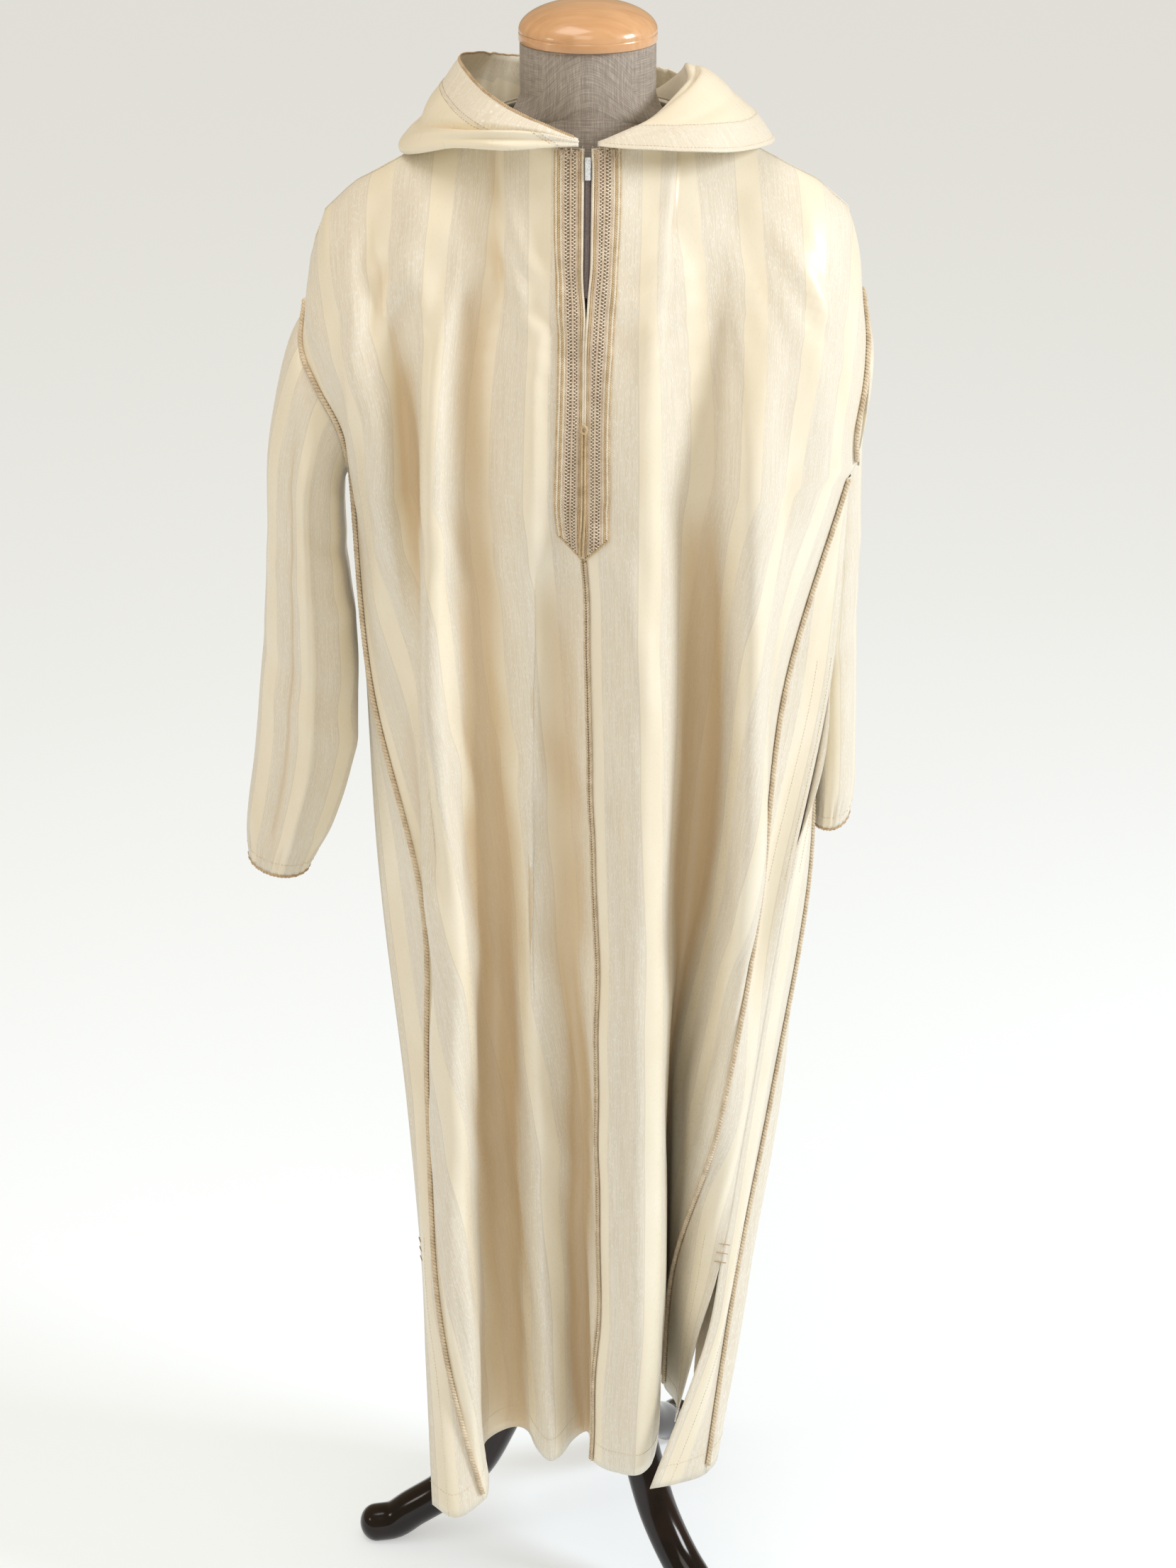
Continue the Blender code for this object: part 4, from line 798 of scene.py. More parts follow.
def grid_mesh(name, grid, uv, valley=None, round_it=False, turned_over=False):
    """An open sheet on a grid of points, with its place in the cloth as its UV map."""
    index = np.arange(grid[..., 0].size).reshape(grid.shape[:2])
    if round_it:
        faces = quads(index, np.roll(index, -1, axis=1))
    else:
        faces = quads(index[:, :-1], index[:, 1:])
    if turned_over:
        faces = faces[:, ::-1]
    mesh = new_mesh(name, grid, faces.tolist())
    places = uv.reshape(-1, 2)[faces]
    if round_it:
        # the last column of faces runs on past the seam
        u = places[:, :, 0]
        span = np.ptp(u, axis=1) > 0.05
        low = u < u.mean(axis=1, keepdims=True)
        around = arc_across(closed(grid))[:, -1].mean()
        places[:, :, 0] += np.where(span[:, None] & low, around, 0.0)
    layer = mesh.uv_layers.new(name="cloth")
    layer.data.foreach_set("uv", places.astype(np.float32).ravel())
    # how deep each point lies in a valley, the mask of the cloth's painted shade
    if valley is not None:
        field = mesh.attributes.new("valley", "FLOAT", "POINT")
        field.data.foreach_set("value", valley.astype(np.float32).ravel())
    return mesh


def measured(grid):
    """The width, length and area of a grid as a flat cut."""
    falling, rising = grid[1:, 1:] - grid[:-1, :-1], grid[1:, :-1] - grid[:-1, 1:]
    area = np.linalg.norm(np.cross(falling, rising), axis=2).sum() / 2
    return float(arc_across(grid)[:, -1].max()), float(arc_along(grid)[-1].max()), float(area)


def cloth_piece(node, grid, normal, u, v, finish, held="hung", turned_over=False,
                round_it=False):
    """A sheet of the striped cloth in place of a node. Its flat cut is worked out, a folded one's
    at half its length or more, but not used.
    """
    mean_width = max(arc_across(grid)[:, -1].mean(), 0.02)
    reach = max(3, int(round(VALLEY_REACH * grid.shape[1] / mean_width)))
    # the depth of each point in a valley, which masks the painted shade
    valley = valley_of(grid, normal, min(reach, grid.shape[1] // 2))
    name = f"{node}_cloth"
    uv = np.stack([u, v], axis=-1)
    mesh = grid_mesh(name, grid, uv, valley, round_it, turned_over)
    thing = put(name, mesh, finish)
    thicken(thing)
    width, length, area = measured(closed(grid) if round_it else grid)
    if held == "folded":
        length = max(length * 0.5, area / width)
    width, length = max(width, SHORTEST_CUT), max(length, SHORTEST_CUT)
    area = min(area, width * length)
    settle(thing, node)


def tubes(name, runs, radius, finish, sides=6, replaced=None):
    """Many round threads in one mesh. Each is a row of points and a share of the radius."""
    points, faces = [], []
    turn = np.linspace(0, 2 * math.pi, sides, endpoint=False)[None, :, None]
    base = 0
    for run, size in runs:
        ahead = unit(np.gradient(run, axis=0))
        side = np.zeros_like(run)
        guide = (1.0, 0.0, 0.0) if abs(ahead[0][0]) < 0.9 else (0.0, 1.0, 0.0)
        side[0] = unit(np.cross(ahead[0], guide))
        for k in range(1, len(run)):
            side[k] = unit(side[k - 1] - ahead[k] * np.dot(side[k - 1], ahead[k]))
        up = np.cross(ahead, side)
        ring = run[:, None] + radius * size * (
            side[:, None] * np.cos(turn) + up[:, None] * np.sin(turn)
        )
        points.append(ring.reshape(-1, 3))
        faces.extend(ring_faces(base, len(run), sides))
        base += len(run) * sides
    thing = put(name, new_mesh(name, np.concatenate(points), faces), finish)
    return settle(thing, replaced)


def laid_out(line, normal, step):
    """A line at even steps of length: points, normals, ways ahead and aside, distances."""
    lengths = arc_along(line)
    at = np.linspace(0, lengths[-1], max(4, int(lengths[-1] / step) + 1))
    path = hermite(lengths, line, at)
    facing = unit(interp_rows(at, lengths, np.asarray(normal)))
    ahead = unit(np.gradient(path, axis=0))
    return path, facing, ahead, unit(np.cross(ahead, facing)), at


def plait(line, normal, strands, wide, deep, pitch, step, lift, aside=0.0):
    """The strands of a twist of two or a flat plait of three, each a run of points."""
    path, facing, _, side, at = laid_out(line, normal, step)
    runs = []
    for k in range(strands):
        turn = 2 * math.pi * (at / pitch + k / strands)
        if strands == 2:
            off_side, off_up = np.cos(turn), np.sin(turn)
        else:
            off_side, off_up = np.sin(turn), np.sin(2 * turn)
        off = side * (aside + wide * off_side)[:, None] + facing * (lift + deep * off_up)[:, None]
        runs.append(path + off)
    return runs


def twist(line, normal, shape, side=1.0):
    """The strands of a twisted cord, which turn the other way on the other side."""
    wide, deep, pitch, step, lift, aside = shape
    return plait(line, normal, 2, wide, deep, pitch * side, step, lift, aside * side)


def double_twist(line, normal, shape):
    return [run for side in (-1.0, 1.0) for run in twist(line, normal, shape, side)]


def stitches(name, lines, thread, finish):
    """Short sewn threads along lines on the cloth, each one half sunk in it."""
    pitch, length, radius, slant = thread
    turn = np.linspace(0, 2 * math.pi, STITCH_SIDES, endpoint=False)[:, None]
    along, size = STITCH_RINGS.T[:, None, :, None]
    points = []
    for line, normal in lines:
        path, facing, ahead, side, _ = laid_out(line, normal, pitch)
        ahead, side = unit(ahead + side * slant), unit(side - ahead * slant)
        path, ahead, side, facing = (part[:, None] for part in (path, ahead, side, facing))
        centre = path + ahead * along * length + facing * radius * STITCH_SINK
        side, facing = side[:, None], facing[:, None]
        around = radius * size[..., None] * (side * np.cos(turn) + facing * np.sin(turn))
        points.append((centre[:, :, None] + around).reshape(-1, 3))
    points = np.concatenate(points)
    faces, rings = [], len(STITCH_RINGS)
    for first in range(0, len(points), rings * STITCH_SIDES):
        faces.extend(ring_faces(first, rings, STITCH_SIDES, capped=False))
    thing = put(name, new_mesh(name, points, faces), finish)
    modify(thing, "WELD", merge_threshold=0.00001)
    settle(thing)


def fine_lower():
    """Fine rows of the front and the back below the chest, joined at the side seams."""
    heights = np.linspace(LEVELS[0], CHEST_Z, int((CHEST_Z - LEVELS[0]) / BODY_ROW) + 1)
    rows = np.interp(heights, LEVELS, range(len(LEVELS)))
    front = body_grid(FRONT, FINE_FRONT, rows, True)
    back = body_grid(BACK[::-1], FINE_BACK, rows, False)
    joined = smooth(VENT_TOP - VENT_EASE, VENT_TOP, heights)[:, None]
    for edge, inward in ((0, 1), (-1, -1)):
        middle = (front[:, edge] + back[:, edge]) / 2
        for grid, steps in ((front, FINE_FRONT), (back, FINE_BACK)):
            move = (middle - grid[:, edge]) * joined
            for near in range(steps * 2):
                grid[:, edge + inward * near] += move * (1.0 - near / (steps * 2)) ** 2
    share = np.clip((heights - POCKET_LOW) / (POCKET_HIGH - POCKET_LOW), 0, 1)
    back[:, -1, 0] += POCKET_GAPE * np.sin(share * math.pi)
    return front, back, heights


def folded_front(panel):
    """The front with its lesser folds, which fade out at the seams, neck and placket."""
    count = np.arange(panel.shape[1])
    edge = np.minimum(count, count[::-1]) / FINE_FRONT
    x, z = panel[:, :, 0], panel[:, :, 2]
    calm = smooth(0.0, 0.9, edge)[None, :] * (1.0 - smooth(1.30, 1.42, z))
    calm *= 1.0 - PLACKET_CALM * np.exp(-((x / 0.030) ** 2)) * smooth(1.06, 1.12, z)
    return panel + normals(panel, 1.0) * (fold_field(x, z) * calm)[:, :, None]


def waved(panel, outward, seed):
    """A panel with slow waves, which fade out at its seams and shoulders."""
    count = np.arange(panel.shape[1])
    waves = soft_waves(panel, seed, PANEL_WAVE)
    inner = smooth(0, 12, np.minimum(count, count[::-1]))[None, :]
    waves *= inner * (1.0 - smooth(1.36, 1.42, panel[:, :, 2]))
    return panel + normals(panel, outward) * waves[:, :, None]


def body(finish):
    """The front, the back and the four gores, and what the cords and braids lie on."""
    front, back, heights = fine_lower()
    made = {"heights": heights, "below_chest": len(heights)}
    shares = np.linspace(0, 1, YOKE_FINE + 1)[1:]
    for side, table, steps, lower, seam_lines, neck, outward, seed in (
        ("front", FRONT, FINE_FRONT, front, ("cord_left", "centre_front", "cord_right"),
         (NECK_FRONT_Y, NECK_FRONT_Z), 1.0, 5),
        ("back", BACK[::-1], FINE_BACK, back,
         ("cord_back_left", "centre_back", "cord_back_right"),
         (NECK_BACK_Y, NECK_BACK_Z), -1.0, 8),
    ):
        names = [row[0] for row in table]
        first, middle, last = (names.index(line) * steps for line in seam_lines)
        place = cloth_place(lower[-1], first, middle, last)[first:last + 1]
        seams = (ARMHOLES[side, "left"], ARMHOLES[side, "right"])
        upper = yoke_grid(lower[-1][first:last + 1], place, shares, *neck, seams)
        panel = np.concatenate([lower[:, first:last + 1], upper])
        if side == "front":
            panel = folded_front(panel)
        panel = waved(panel, outward, seed)
        facing = normals(panel, outward)
        facing[-1] = shoulder_facing(panel[-1], facing[-1], place)
        cut = middle - first
        run = arc_across(panel)
        run = run - run[:, cut:cut + 1]
        total = np.where(run < 0, -run[:, :1], run[:, -1:])
        u = run + np.sign(run) * (PANEL_HALF_WIDTH - total) * (np.abs(run) / total) ** 3
        v = np.repeat(arc_along(panel)[:, cut:cut + 1], panel.shape[1], axis=1)
        places = np.array([cloth_place(row, 0, cut, len(row) - 1) for row in panel])
        made[side] = (panel, facing, places)
        if side == "front":
            opened = ZIP_SLIT * zip_opened(panel[:, cut, 2])
            for label, part, edge, way, shift in (
                ("left", slice(0, cut + 1), -1, -1.0, LEFT_FRONT_SHIFT),
                ("right", slice(cut, None), 0, 1.0, 0.0),
            ):
                half = panel[:, part].copy()
                half[:, edge, 0] += way * opened
                cloth_piece(f"front_{label}", half, facing[:, part], u[:, part] + shift,
                            v[:, part], finish)
        else:
            cloth_piece("back", panel, facing, u, v, finish, turned_over=True)
        lower_facing = normals(lower, outward)
        lower[:, first:last + 1] = panel[:len(lower)]
        for label, low, high in (("left", 0, first), ("right", last, lower.shape[1] - 1)):
            part, out = lower[:, low:high + 1], lower_facing[:, low:high + 1]
            across = arc_across(part)
            if label == "right":
                across = across[:, -1:] - across
            along = np.repeat(v[:len(lower), :1], part.shape[1], axis=1)
            node = f"gore_{side}_{label}"
            cloth_piece(node, part, out, across + SLUB_START + GORE_SHIFT, along, finish,
                        turned_over=outward < 0)
            made[node] = (part, out)
    panel, _, places = made["front"]
    made["centre_heights"] = np.array([
        np.interp(0.0, place, row[:, 2]) for place, row in zip(places, panel)
    ])
    return made


def surface(made, height, place):
    """A point of the front and its normal, at a height on its centre and a place across."""
    panel, facing, places = made["front"]
    row = float(np.interp(height, made["centre_heights"], range(len(panel))))
    low = min(int(row), len(panel) - 2)
    share = row - low
    point, normal = (
        interp_rows(place, places[low], rows[low]) * (1 - share)
        + interp_rows(place, places[low + 1], rows[low + 1]) * share
        for rows in (panel, facing)
    )
    return point, unit(normal)


def front_line(made, heights, places=0.0):
    """Points of the front and their normals, at heights and at places across."""
    places = np.broadcast_to(places, np.shape(heights))
    found = [surface(made, height, place) for height, place in zip(heights, places)]
    return np.array(found).swapaxes(0, 1)


def seam_runs(made):
    """The cords over the seams, as centre lines and normals on the cloth."""
    lift = SHEET_WALL / 2 + CORD / 2 * SEAM_CORD_RISE
    below = made["below_chest"]
    runs = {}
    for side in ("front", "back"):
        panel, facing, _ = made[side]
        for label, column in (("left", 0), ("right", -1)):
            out = facing[1:below, column]
            runs[f"cord_{side}_{label}"] = (panel[1:below, column] + out * lift, out)
    low, high = made["centre_heights"][0] + 0.001, PLACKET_POINT_Z - 0.002
    line, out = front_line(made, np.linspace(low, high, CENTRE_CORD_POINTS))
    runs["cord_centre_front"] = (line + out * lift, out)
    for label, column, inner in (("left", 0, 3), ("right", -1, -4)):
        lines, ways = [], []
        for side, order in (("front", slice(None)), ("back", slice(-2, None, -1))):
            panel, facing, _ = made[side]
            edge, out = panel[below:, column], facing[below:, column]
            inward = unit(panel[below:, inner] - edge)
            lines.append((edge + inward * ARMHOLE_CORD_IN + out * lift)[order])
            ways.append(out[order])
        runs[f"cord_armhole_{label}"] = (
            np.concatenate(lines)[1:-1], np.concatenate(ways)[1:-1]
        )
    return runs


def seam_cords(made, finish):
    """The twisted cords over the seams, doubled down the centre of the front."""
    for name, (line, out) in seam_runs(made).items():
        if name == "cord_centre_front":
            runs, radius, sides = double_twist(line, out, CENTRE_TWIST), 0.00085, 5
        else:
            runs, radius, sides = twist(line, out, SEAM_TWIST), 0.00135, 6
        tubes(f"{name}_twist", [(run, 1.0) for run in runs], radius, finish,
              sides, name)


def zip_opened(z):
    """0 where the front is whole, 1 where the zip parts it."""
    return smooth(ZIP_END_Z - ZIP_EASE, ZIP_END_Z + ZIP_EASE, z)


def placket_place(side, share, z):
    """The place across the cloth at a share of a band's width, which widens off the slit."""
    inner = SEAM_GAP + (PLACKET_INNER - SEAM_GAP) * zip_opened(z)
    return side * (inner + (PLACKET_OUTER - inner) * share)


def braid_ground(made, side, name, finish):
    """The woven ground of a band, whose lower end slants down to the point. Its dark brown thread
    is painted shade in the gaps between the cords.
    """
    slant = PLACKET_SHOULDER_Z - PLACKET_POINT_Z
    shares = np.linspace(0, 1, BRAID_GROUND_STEPS)
    grid = []
    for z in np.r_[np.arange(PLACKET_POINT_Z, PLACKET_TOP_Z, 0.004), PLACKET_TOP_Z]:
        rise = slant * shares * (1.0 - smooth(PLACKET_POINT_Z, PLACKET_POINT_Z + 0.05, z))
        at = np.maximum(z + rise, PLACKET_POINT_Z + slant * shares)
        points, out = front_line(made, np.minimum(at, PLACKET_TOP_Z),
                                 placket_place(side, shares, at))
        grid.append(points + out * BRAID_GROUND_LIFT)
    grid = np.array(grid)
    mesh = grid_mesh(f"{name}_ground", grid, np.stack([arc_across(grid), arc_along(grid)], -1))
    ground = put(f"{name}_ground", mesh, finish)
    thicken(ground, BRAID_GROUND_WALL)
    settle(ground, name)


def braid_bands(made, finishes):
    """The placket's bands: rows of braid, chain and rungs on a woven ground."""
    for label, side in (("left", -1.0), ("right", 1.0)):
        name = f"braid_{label}"
        braid_ground(made, side, name, finishes["ground"])
        threads = {"light": [], "gold": [], "tan": []}
        for share, kind, radius, wide, pitch, colour in BRAID_COLUMNS:
            low = PLACKET_POINT_Z + (PLACKET_SHOULDER_Z - PLACKET_POINT_Z) * share + 0.0012
            top = PLACKET_TOP_Z - BRAID_UNEVEN * (share * 7 % 3)
            zs = np.r_[np.arange(low, top, 0.005), top]
            line, out = front_line(made, zs, placket_place(side, share, zs))
            if kind == "ladder":
                threads[colour].extend(rungs(line, out, wide, radius, pitch))
                continue
            strands, deep, stretch, lift = BRAID_KINDS[kind]
            found = plait(line, out, strands, wide, radius * deep, pitch * side * stretch,
                          BRAID_STEP, lift)
            threads[colour].extend((run, radius) for run in found)
        threads["gold"].extend((run, BRAID_EDGE_RADIUS) for run in edge_cord(made, side))
        for colour, runs in threads.items():
            tubes(f"{name}_{colour}", runs, 1.0, finishes[colour], 5, name)


def edge_cord(made, side):
    """The cord that borders the pointed end of a band and its outer edge."""
    shares = np.linspace(0.0, BRAID_EDGE, 12)
    point_zs = PLACKET_POINT_Z + (PLACKET_SHOULDER_Z - PLACKET_POINT_Z) * shares - 0.0006
    edge_zs = np.arange(PLACKET_SHOULDER_Z + 0.004, PLACKET_TOP_Z, 0.006)
    zs = np.r_[point_zs, edge_zs]
    shares = np.r_[shares, np.full(len(edge_zs), BRAID_EDGE)]
    line, out = front_line(made, zs, placket_place(side, shares, zs))
    return twist(line, out, EDGE_TWIST, side)


def rungs(line, out, wide, radius, pitch):
    """A column of close-set rungs, each a short bowed thread across half of the column."""
    path, facing, ahead, side, _ = laid_out(line, out, pitch / 2)
    bow = np.linspace(-1, 1, 5)[:, None]
    runs = []
    for k, (p, s, n, a) in enumerate(zip(path, side, facing, ahead)):
        way = 1 if k % 2 else -1
        run = (
            p + s * wide * 0.5 * way
            + (s * bow * 0.55 + a * (RUNG_LEAN * way) * bow * 0.35) * wide
            + n * (0.0019 + radius * 0.9 * (1 - bow**2))
        )
        runs.append((run, radius * 0.92))
    return runs


def slit_loop(made, finish):
    """The doubled cord from the loop below the end of the slit down to the point."""
    zs = np.r_[np.arange(PLACKET_POINT_Z + 0.003, KNOT_Z, 0.005), KNOT_Z]
    line, out = front_line(made, zs)
    runs = [(run, 0.9) for run in double_twist(line, out, LOOP_TWIST)]
    top, normal = surface(made, KNOT_Z, 0.0)
    turn = np.linspace(-0.5 * math.pi, 1.5 * math.pi, 26)
    ring = np.column_stack([np.cos(turn), 0.0 * turn, (np.sin(turn) + 1.0) * LOOP_STRETCH])
    runs.append((top + normal * 0.0046 + LOOP_RADIUS * ring, 1.6))
    tubes("placket_loop_twist", runs, 0.00078, finish,
          replaced="placket_knot_cord")


def frayed_ends(made, finish):
    """Loose threads at the cut upper ends of the braid, under the hood's edge."""
    random = np.random.default_rng(11)
    t = np.linspace(0, 1, 6)[:, None]
    runs = []
    for side in (-1.0, 1.0):
        for share in np.linspace(0.05, 1.0, 22):
            start_z = PLACKET_TOP_Z - random.uniform(0.003, 0.012)
            length = random.uniform(0.004, 0.010)
            lean = random.uniform(-0.4, 0.4)
            p, n = surface(made, start_z, placket_place(side, share, start_z))
            run = p + n * (0.0036 + 0.0006 * t) + np.array([lean, 0.0, 1.0]) * length * t
            run = run + n * random.uniform(-0.0004, 0.0012) * t**2
            runs.append((run, random.uniform(0.7, 1.2)))
    tubes("braid_frayed_threads", runs, 0.00022, finish, 5)


def zip_pieces(made, tape, metal):
    """The closed coil of the zip, and the looks of its tape, slider and pull."""
    top = ZIP_TOP_Z - SLIDER_LENGTH - 0.001
    line, out = front_line(made, np.arange(ZIP_END_Z + 0.002, top, 0.004))
    runs = [(run, 1.0) for run in double_twist(line, out, COIL_TWIST)]
    tubes("zip_coil", runs, 0.00032, tape, 5, "zip_chain")
    for name, finish in (("zip_slider", metal), ("zip_pull", metal), ("zip_tape", tape)):
        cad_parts[name].material_slots[0].material = finish


def sleeve_piece(side, finish):
    """A sleeve from its armhole to the gathered cuff, with the folds at the elbow."""
    front, back = ARMHOLES["front", side], ARMHOLES["back", side]
    shares = np.linspace(0, 1, SLEEVE_AROUND // 2 + 1)
    knots = np.linspace(0, 1, len(front))
    loop = np.concatenate([hermite(knots, front, shares), hermite(knots, back, shares)[-2:0:-1]])
    out_x = math.copysign(1.0, SLEEVES[side][0][1])
    low = smooth(0.0, 1.0, (loop[0, 2] - loop[:, 2]) / (loop[0, 2] - CHEST_Z))[:, None]
    angles = np.linspace(0, 2 * math.pi, SLEEVE_AROUND, endpoint=False)
    rings = [loop + low * np.array([out_x * (CLOTH + SEAM_GAP), 0.0, 0.0])]
    for _, x, y, z, wide, deep, lift in SLEEVES[side]:
        rings.append(np.column_stack([
            x + out_x * wide * np.cos(angles), y - deep * np.sin(angles),
            z + lift * np.cos(angles),
        ]))
    rings = np.array(rings)
    knots = arc_along(rings.mean(axis=1))
    grid = hermite(knots, rings, np.linspace(0, knots[-1], SLEEVE_ROWS))
    share = np.linspace(0, 1, SLEEVE_ROWS)[:, None]
    fold = np.zeros(grid.shape[:2])
    for centre, deep, width, wander in SLEEVE_FOLDS[side]:
        off = np.angle(np.exp(1j * (angles[None, :] - centre - wander * share)))
        fold += deep * np.exp(-np.sqrt((off / width) ** 2 + 0.05) * 1.4)
    for height, deep, width, turn in SLEEVE_CREASES[side]:
        off = share - height - CREASE_BOW * np.sin(angles[None, :] - turn)
        ahead = 0.5 + 0.5 * np.cos(angles[None, :] - turn)
        fold += deep * np.exp(-((off / width) ** 2)) * ahead**2
    gather = smooth(0.90, 0.965, share) * (1.0 - smooth(0.975, 1.0, share) * 0.6)
    fold = fold * (1.0 - smooth(0.90, 0.97, share))
    fold = fold + gather * CUFF_GATHER * np.sin(angles[None, :] * CUFF_GATHERS)
    grid = grid + ring_normals(grid) * (fold * smooth(0.05, 0.18, share))[:, :, None]
    normal = ring_normals(grid)
    around = arc_across(closed(grid))[:, :-1]
    u = around / around[:, -1:] * around[:, -1:].max() + SLUB_START
    cloth_piece(f"sleeve_{side}", grid, normal, u, arc_along(grid), finish, round_it=True,
                turned_over=not faces_out(grid))
    return grid, normal


def ring_normals(grid):
    """Unit normals of a tube's points, away from its middle."""
    down = np.gradient(grid, axis=0)
    along = np.roll(grid, -1, axis=1) - np.roll(grid, 1, axis=1)
    normal = unit(np.cross(along, down))
    out = grid - grid.mean(axis=1, keepdims=True)
    return normal * math.copysign(1.0, float(np.sum(normal * out)))


def faces_out(grid):
    """Whether a tube's faces, in grid order, point away from its middle."""
    corner = grid[:-1, :-1]
    normal = np.cross(grid[:-1, 1:] - corner, grid[1:, :-1] - corner)
    out = (grid - grid.mean(axis=1, keepdims=True))[:-1, :-1]
    return float(np.sum(normal * out)) > 0


def hood_piece(side, x_sign, seed, finish):
    """One half of the hood, rolled back round the neck and down the back."""
    table = HOODS[side]
    steps = np.linspace(0, 1, len(table))
    at = np.linspace(0, 1, HOOD_FINE_ROWS)
    t = np.linspace(0, 1, HOOD_FINE_STEPS)
    angles = hermite(steps, np.radians([row[0] for row in table]), at)
    grid = []
    for angle, row in zip(angles, hermite(steps, np.array([row[1:] for row in table]), at)):
        radius, height = neckline(angle)
        profile = np.vstack([[radius + HOOD_SEAM_OUT, height + HOOD_SEAM_LIFT], row])
        r, z = hermite(np.linspace(0, 1, len(profile)), profile, t).T
        grid.append(np.column_stack([x_sign * r * math.sin(angle), -r * math.cos(angle), z]))
    grid = np.array(grid)
    normal = normals(grid, x_sign)
    shown = normal[HOOD_FINE_ROWS // 8:HOOD_FINE_ROWS // 2, HOOD_FINE_STEPS * 2 // 3:-4]
    outward = math.copysign(1.0, float(shown[..., 2].sum() - shown[..., 1].sum()))
    degrees = np.degrees(angles)[:, None]
    moved = np.zeros(grid.shape[:2])
    for angle, place, deep, wide, long, slant in HOOD_FOLDS[side]:
        off = t - place - slant * (degrees - angle) / 60.0
        moved += deep * np.exp(-((off / wide) ** 2) - ((degrees - angle) / long) ** 2)
    waves = soft_waves(grid, seed, HOOD_WAVE) * smooth(0.06, 0.2, t)
    moved += waves * smooth(8, 30, degrees) * (1.0 - smooth(150, 175, degrees))
    grid = grid + normal * outward * moved[:, :, None]
    normal = normals(grid, x_sign * outward)
    # the stripes run along the opening edge first, then the rest is plain satin
    u = arc_across(grid)
    u = u[:, -1:] - u
    along = arc_along(grid)[:, -1:]
    there = HOOD_BAND - 2 * SLUB_MARGIN
    turned_along = SLUB_START + SLUB_MARGIN + np.abs(along % (2 * there) - there)
    in_band = u < HOOD_BAND
    band_u = np.where(in_band, turned_along, SATIN_START + (u - HOOD_BAND) * SATIN_DRIFT)
    cloth_piece(f"hood_{side}", grid, normal, band_u, np.where(in_band, u, along), finish,
                held="folded", turned_over=x_sign < 0)
    return grid, normal


def facing_out(points, ways):
    """The normals turned to the side that faces up and away from the neck."""
    out = points - np.array([0.0, 0.0, HOOD_MIDDLE_Z])
    return ways * np.where(np.sum(out * ways, axis=1) < 0, -1.0, 1.0)[:, None]


def inset_line(grid, normal, edge, distance, sink=SHEET_WALL / 2):
    """A line at a distance in from one edge of a grid, on the outer face of the cloth."""
    if edge in ("low", "high"):
        grid, normal = grid.swapaxes(0, 1), normal.swapaxes(0, 1)
    if edge in ("last", "high"):
        grid, normal = grid[:, ::-1], normal[:, ::-1]
    found = []
    for points, ways in zip(grid, normal):
        run = arc_along(points)
        at = min(distance, run[-1] * 0.9)
        found.append((interp_rows(at, run, points), interp_rows(at, run, ways)))
    line, out = np.array(found).swapaxes(0, 1)
    out = unit(out)
    return line + out * sink, out


def robe_stitches(made, sleeves, hoods, cream, tan):
    """Topstitches of the hems, vents, pocket, cuffs and hood, and the tacks."""
    below, heights = made["below_chest"], made["heights"]
    free = heights < VENT_TOP + 0.02
    pocket = (heights > POCKET_LOW - 0.03) & (heights < POCKET_HIGH + 0.03)
    lines = []
    for side in ("front", "back"):
        panel, facing, _ = made[side]
        lines.append(inset_line(panel[:below], facing[:below], "low", HEM_FOLD))
        for label, edge in (("left", "first"), ("right", "last")):
            gore = made[f"gore_{side}_{label}"]
            lines.append(inset_line(*gore, "low", HEM_FOLD))
            lines.append([part[free] for part in inset_line(*gore, edge, HEM_FOLD * 0.9)])
    for side in ("front", "back"):
        for distance in POCKET_STITCHES:
            found = inset_line(*made[f"gore_{side}_right"], "last", distance)
            lines.append([part[pocket] for part in found])
    for grid, normal in sleeves.values():
        lines.append(inset_line(closed(grid), closed(normal), "high", CUFF_STITCH))
    stitches("robe_topstitches", lines, TOPSTITCH, cream)
    for side, finish in (("left", tan), ("right", cream)):
        found = []
        for distance in HOOD_STITCHES[side]:
            grid, normal = (part[3:-8] for part in hoods[side])
            run, ways = inset_line(grid, normal, "last", distance, sink=0.0)
            ways = facing_out(run, ways)
            found.append((run + ways * SHEET_WALL / 2, ways))
        stitches(f"hood_{side}_topstitches", found, TOPSTITCH, finish)
    run, ways = (part[2:-8, -1] for part in hoods["left"])
    stitches("hood_left_overcast", [(run, facing_out(run, ways))], OVERCAST, tan)
    tacks = []
    vent_row = int(np.argmin(np.abs(heights - VENT_TOP)))
    for side, column, inner, near, far in (
        ("left", 0, 2, 0.0005, 0.0070), ("right", -1, -3, -0.0040, 0.0040)
    ):
        part, out = made[f"gore_front_{side}"]
        inward = unit(part[vent_row, inner] - part[vent_row, column])
        for step in (-1, 0, 1):
            point, way = part[vent_row + step, column], out[vent_row + step, column]
            line = np.array([point + inward * near, point + inward * far])
            tacks.append((line + way * (SHEET_WALL / 2 + 0.0003), np.array([way, way])))
    stitches("vent_tacks", tacks, TACK, tan)


def rolled_cuffs(sleeves, finish):
    """The narrow rolled hem at the end of each sleeve."""
    for side, sleeve in sleeves.items():
        edge, out = (np.concatenate([part[-1], part[-1][:2]]) for part in sleeve)
        runs = [(run, 1.0) for run in twist(edge, out, CUFF_TWIST)]
        tubes(f"sleeve_{side}_rolled_hem", runs, 0.00095, finish)


